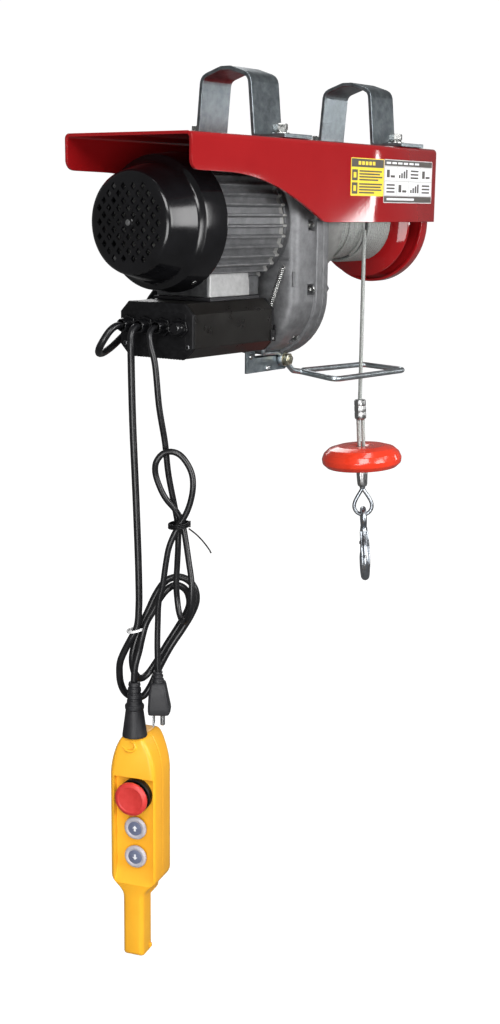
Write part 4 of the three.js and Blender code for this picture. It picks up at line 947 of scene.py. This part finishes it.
def add_control_box():
    def ring(x, inset):
        return [(x, y, z) for y, z in octagon(inset)]

    shell = loft([ring(45, 2.5), ring(44.1, 2.5), ring(44.1, 0.15), ring(44.3, 0), ring(167.7, 0), ring(167.9, 0.15),
                  ring(167.9, 2.5), ring(167, 2.5)])
    make("box_shell", shell, BOX_BLACK, "frame", ("control_box",), angle=30, bevel=0.35)
    front = loft([ring(40, 1.1), ring(40.3, 0.4), ring(41, 0), ring(43.4, 0), ring(43.7, 0.3)])
    cap = make("box_cap_front", front, CAP_BLACK, "frame", ("box_cap_left",), angle=30)
    for y in (105.5, 84.5, 63.5):
        carve(cap, rod(38, 46, 6.3, "x", (y, -176), 24))
    back = loft([ring(168.3, 0.3), ring(168.6, 0), ring(171, 0), ring(171.7, 0.4), ring(172, 1.1)])
    make("box_cap_back", back, CAP_BLACK, "frame", ("box_cap_right",), angle=30)
    teeth = total([block(40.2, 43.6, 41.5 + 3.4 * k, 43.1 + 3.4 * k, -206.2, -204.6) for k in range(20)])
    make("box_cap_teeth", teeth, CAP_BLACK, "frame", bevel=0.3)
    panel = prism([(y, z) for y, z in rounded([(38, -197), (110, -197), (110, -162), (38, -162)], 4, 4, closed=True)],
                  "x", 39.5, 40.1)
    panel = make("box_cap_panel", panel, CAP_BLACK, "frame", bevel=0.25)
    for y in (105.5, 84.5, 63.5, 42.5):
        carve(panel, rod(38, 41, 9.4, "x", (y, -176), 24))
    screws = [screw_at(40.2, y, z, 2.5, 1.1) for y in (36, 112) for z in (-194,)]
    make("box_screws", total(screws), DARK_STEEL, "frame")
    clip = total([block(165.5, 173.5, 28.6, 30.4, -196, -185), block(172.2, 173.6, 28.6, 34, -196, -180)])
    make("box_clip", clip, CAP_BLACK, "frame", bevel=0.4)
    make("box_clip_screw", rod(27.9, 29, 1.7, "y", (-193.5, 168.5), 16, edge=0.4), BRIGHT_STEEL, "frame")
    for i, y in enumerate((105.5, 84.5, 63.5, 42.5)):
        c = (y, -176)
        nose = turned([(26.3, 4.8), (26, 5.2), (26.2, 5.8), (28, 6.5), (30, 6.8), (36, 7), (36.6, 6.6), (36.6, 4.8)],
                      "x", c, 32, ring=True)
        nut = loft([[(x, p, q) for p, q in hexagon(r, c, 0.26)] for x, r in
                    ((36.4, 7.6), (36.6, 8.6), (37, 9), (39.3, 9), (39.6, 8.7))])
        nut = nut + rod(39.4, 46.8, 5.9, "x", c, 20)
        if i == 3:
            nut = nut + turned([(27.4, 0), (27.2, 3), (27.4, 4.9), (37, 4.9)], "x", c, 24)
        make(f"gland_{i + 1}", nose + nut, GLOSS_BLACK, "frame", (f"cable_gland_{i + 1}",), angle=40,
             bevel=0.2)


# ---------------------------------------------------------------- limit lever
def coil_between(a, b, r, wire, turns, per_turn=16):
    a, b = Vector(a), Vector(b)
    along = (b - a).normalized()
    u = along.cross(Vector((0, 1, 0))).normalized()
    v = along.cross(u)
    count = int(turns * per_turn)
    return tube([a + (b - a) * (k / count) + (u * math.cos(TAU * k / per_turn) + v * math.sin(TAU * k / per_turn)) * r
                 for k in range(count + 1)], wire, 8)


def add_lever():
    face = [(166, -231), (235, -231), (243, -223), (243, -216), (180.5, -216), (180.5, -207), (166, -207)]
    shelf = block(196, 240, 61.2, 74, -218.5, -216.1)
    make("bracket_shelf", shelf, ZINC, "frame", bevel=0.4)
    plate = prism([(z, x) for x, z in face], "y", 58.8, 61.3)
    plate = make("bracket_plate", plate, ZINC, "frame", ("lever_bracket",), angle=30, bevel=0.4)
    carve(plate, rod(56, 63, 4.3, "y", (-220, 226), 24))
    screws = [turned([(58.9, 0), (58.9, 3.1), (58.2, 3.1), (57.2, 2.3), (57, 1.2), (57, 0)], "y", (z, x), 20)
              for x, z in ((173.5, -214), (203, -228))]
    make("bracket_screws", total(screws), BRIGHT_STEEL, "frame")
    c = (-220, 226)
    nut = loft([[(p, level, q) for q, p in hexagon(r, c, 0.4)] for level, r in
                ((46.4, 5.9), (46.9, 6.6), (51.6, 6.6), (52, 6.2))])
    end = turned([(45.4, 0), (45.4, 3.2), (46, 3.8), (64, 3.9), (64, 0)], "y", c, 20)
    washer = turned([(52.1, 3.9), (52.1, 6.9), (52.6, 7), (52.7, 3.9)], "y", c, 28, ring=True)
    lock = turned([(61.5, 0), (61.5, 4.7), (64.6, 4.7), (64.6, 0)], "y", c, 6)
    make("pivot_nut", nut + end + washer + lock, NUT_STEEL, "frame", ("lever_pivot",), bevel=0.25)
    switch = block(184, 204, 61.7, 74, -231, -219)
    make("switch_case", switch, CAP_BLACK, "frame", ("limit_switch",), bevel=0.8)
    make("switch_seam", block(183.8, 204.2, 67.4, 67.9, -231.2, -218.9), BOX_BLACK, "frame")
    eye = turned([(52.9, 4.3), (52.8, 4.8), (52.8, 6.4), (53.5, 7), (57.5, 7), (58.2, 6.4), (58.2, 4.8), (58.1, 4.3)],
                 "y", c, 32, ring=True)
    loop = rounded([(231, 55.5, -223.5), (244, 55, -233.5), (261, 57, -236), (249, 5, -239.5), (377, -5, -239.5),
                    (375, 49, -237), (268, 58, -235.5)], 9, 8)
    tail = rounded([(222, 55.5, -217), (217, 55, -212.6), (190, 52.5, -211.4), (178, 47.5, -211), (177, 45, -203)],
                   5, 6)
    make("lever_rod", eye + tube(loop, 3, 16) + tube(tail, 2, 12), ROD_ZINC, "lever_body",
         ("limit_lever",), angle=50)
    top, low, wire = Vector((180.5, 26, -123.5)), Vector((175, 38.5, -166)), Vector((177, 45, -201))
    coil = coil_between(top, low, 2.5, 0.5, 22)
    hook_line = [top + Vector((0, 0, 3)), top + Vector((2.4, 0, 1.6)), top + Vector((2.9, 0, -0.6))]
    hook_up = tube(spline(hook_line, 0.8), 0.62, 8)
    leg = spline([low + Vector((2.7, 0, 0.6)), low + Vector((0.6, 0, -2.4)), low + Vector((0.1, 1.4, -7)),
                  wire + Vector((0, -1, 4)), wire], 2)
    spring = make("spring_coil", coil + hook_up + tube(leg, 0.62, 8), SPRING_WIRE, None,
                  ("lever_spring",), angle=70)
    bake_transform(spring)


# ---------------------------------------------------------------- pendant
HAND = (Matrix.Translation((16, 82.5, 0)) @ Matrix.Rotation(math.radians(16), 4, "Z")
        @ Matrix.Translation((-16, -82.5, 0)))


def shell_line(inset=0.0, foot=-814.5):
    w, g, t = 24.5 - inset, 11.2 - inset, -579 - inset
    half = [(9 * k / 3, t) for k in range(3)]
    half += bezier((9, t), (14, t), (w - 1, t - 20), (w, t - 40), 10)
    half += [(w, t - 40 + (-729 - t + 40) * k / 4) for k in range(4)]
    half += bezier((w, -729), (w, -738), (g, -740), (g, -752), 10)
    half += [(g, -752), (g, foot + inset + 2.5), (g - 0.8, foot + inset + 0.8), (g - 2.5, foot + inset)]
    return [(82.5 + a, z) for a, z in half] + [(82.5 - a, z) for a, z in reversed(half[1:])]


def add_pendant():
    def ring(x, inset, foot=-814.5):
        return [(x, y, z) for y, z in shell_line(inset, foot)]

    front = loft([ring(17.4, 2.4), ring(28.95, 2.4), ring(28.95, 0.3), ring(28.7, 0), ring(13, 0), ring(11, 0.5),
                  ring(9.6, 1.5), ring(8.5, 3), ring(8, 4.6)])
    front = make("shell_front", front.moved(HAND), YELLOW, "pendant", ("pendant_front",), angle=32)
    y0, y1 = 60, 102
    recess = prism([(-621, 6), (-621, 15), (-719, 15), (-727, 13.4), (-735.5, 8.4), (-736, 6)], "y", y0, y1)
    notch = rod(-579.9, -566, 12.9, "z", (16, 82.5), 40)
    carve(front, recess.moved(HAND))
    carve(front, notch)
    for z, r in ((-640.5, 8.4), (-675.5, 6.4), (-706, 6.4)):
        carve(front, rod(13, 20, r, "x", (80, z), 24).moved(HAND))
    edge = front.modifiers.new("edges", "BEVEL")
    edge.width, edge.segments, edge.limit_method, edge.angle_limit = 0.0005, 2, "ANGLE", math.radians(40)
    back = loft([ring(51.6, 2.4, -754), ring(29.3, 2.4, -754), ring(29.3, 0.3, -754), ring(29.55, 0, -754),
                 ring(46, 0, -754), ring(49.4, 0.7, -754), ring(52, 2.4, -754), ring(53.5, 4.6, -754),
                 ring(54, 7, -754)])
    back = make("shell_back", back.moved(HAND), YELLOW, "pendant", ("pendant_back",), angle=32)
    carve(back, notch)
    arc = spline([(8.9, 92.5, -589.5), (8, 87, -593), (8, 81.5, -592.6), (8, 78.2, -588.6), (8, 80, -584.6),
                  (8.6, 84.5, -583.8)], 1.2)
    bump = tube(arc, lambda t: 0.6 + 1.3 * math.sin(math.pi * min(1, 0.15 + t * 0.85)), 12)
    make("shell_bump", bump.moved(HAND), YELLOW, "pendant", angle=70)
    make("shell_lug", block(24.6, 28.7, 69.8, 71.6, -811, -807).moved(HAND), YELLOW, "pendant",
         bevel=0.6)
    boot = [(-579.1, 0), (-579.1, 12.2), (-578.6, 12.4), (-577, 12.2), (-551.4, 8.8), (-550.6, 9.5), (-547.4, 9.6),
            (-546.4, 8.8), (-545.6, 7.8), (-542, 7.6), (-541.6, 6.7), (-539.6, 6.6), (-539.2, 7.4), (-535.8, 7.1),
            (-535.4, 6.2), (-533.4, 6.1), (-533, 6.8), (-529.6, 6.5), (-529.2, 5.7), (-527.4, 5.6), (-527, 6.2),
            (-524, 5.7), (-523.5, 5.2), (-523.5, 0)]
    make("boot", turned(boot, "z", (16, 82.5), 48), RUBBER, "pendant", ("cable_boot",), bevel=0.25)
    collar = turned([(14.95, 14.6), (8.6, 14.6), (8, 15.1), (8, 16.4), (8.8, 17), (14.95, 17)], "x", (80, -640.5), 48,
                    True)
    make("stop_collar", collar.moved(HAND), CAP_BLACK, "pendant", bevel=0.2)
    head = [(-1.9, 0), (-1.9, 11.8), (-2.1, 12.5), (-2.4, 13.1), (-2.3, 14), (-1.5, 16), (-0.6, 16.9), (0.4, 17.3),
            (1.6, 17.3), (2.4, 16.8), (3.3, 14.4), (3.5, 13.6), (3.5, 8), (20, 8), (20, 0)]
    make("stop_head", turned(head, "x", (80, -640.5), 64).moved(HAND), STOP_RED, "estop", ("estop_button",),
         angle=50)
    # A dark ring behind the stop head: painted shadow of the head on the shell.
    skirt = turned([(3.6, 8.2), (3.6, 14.2), (4.2, 14.2), (8.6, 13.6), (10.6, 13.4), (10.6, 8.2)], "x", (80, -640.5),
                   48, True)
    make("stop_shadow_ring", skirt.moved(HAND), CAP_BLACK, "estop", bevel=0.2)
    for name, z, body, sign in (("up", -675.5, "up", 1), ("down", -706, "down", -1)):
        c = (80, z)
        dome = [(9.9, 0), (9.9, 7.6), (9.3, 8.1), (9, 8.8), (9, 10), (9.6, 11.2), (10.5, 11.8), (11.7, 11.8), (11.8, 6),
                (22, 6), (22, 0)]
        make(f"{name}_boot", turned(dome, "x", c, 48).moved(HAND), BOOT_GREY, body, (f"{name}_button",),
             angle=50)
        disc = turned([(9.95, 0), (9.5, 0), (9.5, 6.9), (9.7, 7.3), (9.95, 7.3)], "x", c, 40)
        make(f"{name}_disc", disc.moved(HAND), DISC_BLUE, body)
        arrow = [(0, 3.2), (2.7, 0.2), (1, 0.2), (1, -2.8), (-1, -2.8), (-1, 0.2), (-2.7, 0.2)]
        arrow = prism([(80 + a, z + sign * b) for a, b in arrow], "x", 9.3, 9.6)
        make(f"{name}_arrow", arrow.moved(HAND), WHITE, body)


add_red_frame()
add_hangers()
add_labels()
add_fan_cover()
add_motor()
add_gearbox()
add_drum()
add_control_box()
add_lever()
add_rope_end()
add_hook()
add_pendant()


# ---------------------------------------------------------------- other nodes, floor and light
KEPT = {
    "stator_core": DARK_STEEL, "stator_winding": COPPER, "motor_bearing_rear": BRIGHT_STEEL,
    "motor_bearing_front": BRIGHT_STEEL, "motor_shaft": BRIGHT_STEEL, "rotor_core": DARK_STEEL,
    "cooling_fan": CAST_PALE_AND_HIGHLIGHT, "layshaft": BRIGHT_STEEL, "intermediate_gear": DARK_STEEL,
    "drum_gear": DARK_STEEL, "drum_bearing": BRIGHT_STEEL, "end_bearing": BRIGHT_STEEL, "capacitor": GLOSS_BLACK,
    "contact_block": PHENOLIC, "mounting_pad": RUBBER,
}


def dress_nodes():
    for name, material in KEPT.items():
        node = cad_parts[name]
        node.data.materials.clear()
        node.data.materials.append(material)
        weld = node.modifiers.new("weld", "WELD")
        weld.merge_threshold = 0.00005
        edge = node.modifiers.new("edges", "BEVEL")
        edge.width = 0.0003
        edge.segments = 2
        edge.limit_method = "ANGLE"
        edge.angle_limit = math.radians(40)


def glow(name, colour, dark, strength):
    """A pale cloudy surface that gives its own light, for the floor and the backdrop."""
    mat = finish(name, dark, colour, (0.6, 0.7), grain=2, bump=0.0)
    shader = mat.node_tree.nodes["Principled BSDF"]
    shader.inputs["Emission Color"].default_value = (1, 1, 1, 1)
    shader.inputs["Emission Strength"].default_value = strength
    shader.inputs["Specular IOR Level"].default_value = 0.0
    return mat


FLOOR_SIZE, DOME_RADIUS, FLOOR_DROP = 60, 24, 0.002  # metres
WORLD_LIGHT = 0.16


def add_studio():
    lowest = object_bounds()[0].z
    bpy.ops.mesh.primitive_plane_add(size=FLOOR_SIZE, location=(0, 0, lowest - FLOOR_DROP))
    floor = bpy.context.object
    floor.name = "floor"
    floor.data.materials.append(glow("pale_floor", (0.2, 0.2, 0.2), (0.18, 0.18, 0.18), 1.0))
    bpy.ops.mesh.primitive_ico_sphere_add(subdivisions=5, radius=DOME_RADIUS, location=(0, 0, 0))
    dome = bpy.context.object
    dome.name = "backdrop"
    dome.data.materials.append(glow("pale_backdrop", (0.02, 0.02, 0.02), (0.01, 0.01, 0.01), 1.02))
    for item in (floor, dome):
        item.visible_diffuse = item.visible_glossy = False
        item.visible_transmission = item.visible_shadow = False
    world = bpy.data.worlds.new("studio")
    bpy.context.scene.world = world
    world.use_nodes = True
    world.node_tree.nodes["Background"].inputs["Color"].default_value = (1, 1, 1, 1)
    world.node_tree.nodes["Background"].inputs["Strength"].default_value = WORLD_LIGHT
    for name, place, aim, size, power in (
            ("key", (-1.9, -1.5, 1.2), (0, 0, -0.3), (1.3, 1.1), 42),
            ("top", (0.1, -0.2, 1.8), (0, 0, -0.1), (1.3, 0.7), 16),
            ("front", (-0.1, -2.4, 0.3), (0, 0, -0.3), (1.2, 1.4), 44),
            ("rear", (1.6, 1.8, 0.9), (0, 0, -0.2), (1.2, 1.2), 14),
            ("low", (-1.9, -1.0, -0.55), (0, 0, -0.5), (1.0, 0.9), 22),
            ("nose", (0.204, -0.422, -0.14), (-0.265, -0.051, -0.1415), (0.12, 0.1), 0.22)):
        data = bpy.data.lights.new(name, "AREA")
        data.shape = "RECTANGLE"
        data.size, data.size_y = size
        data.energy = power
        lamp = bpy.data.objects.new(name, data)
        bpy.context.scene.collection.objects.link(lamp)
        lamp.location = place
        lamp.visible_camera = False
        lamp.rotation_euler = (Vector(aim) - Vector(place)).to_track_quat("-Z", "Y").to_euler()
    data = bpy.data.lights.new("strip", "AREA")
    data.shape = "RECTANGLE"
    data.size, data.size_y = 0.09, 0.36
    data.energy = 1.3
    strip = bpy.data.objects.new("strip", data)
    bpy.context.scene.collection.objects.link(strip)
    centre = Vector((1.375, -0.825, -0.085))
    back = (centre - Vector((0, 0, 0))).normalized()
    tall = Vector((0.15, 0.05, 0.17))
    tall = (tall - back * tall.dot(back)).normalized()
    across = tall.cross(back)
    frame_of = Matrix((across, tall, back)).transposed().to_4x4()
    frame_of.translation = centre
    strip.matrix_world = frame_of
    bpy.context.scene.view_settings.view_transform = "Standard"


dress_nodes()
add_studio()
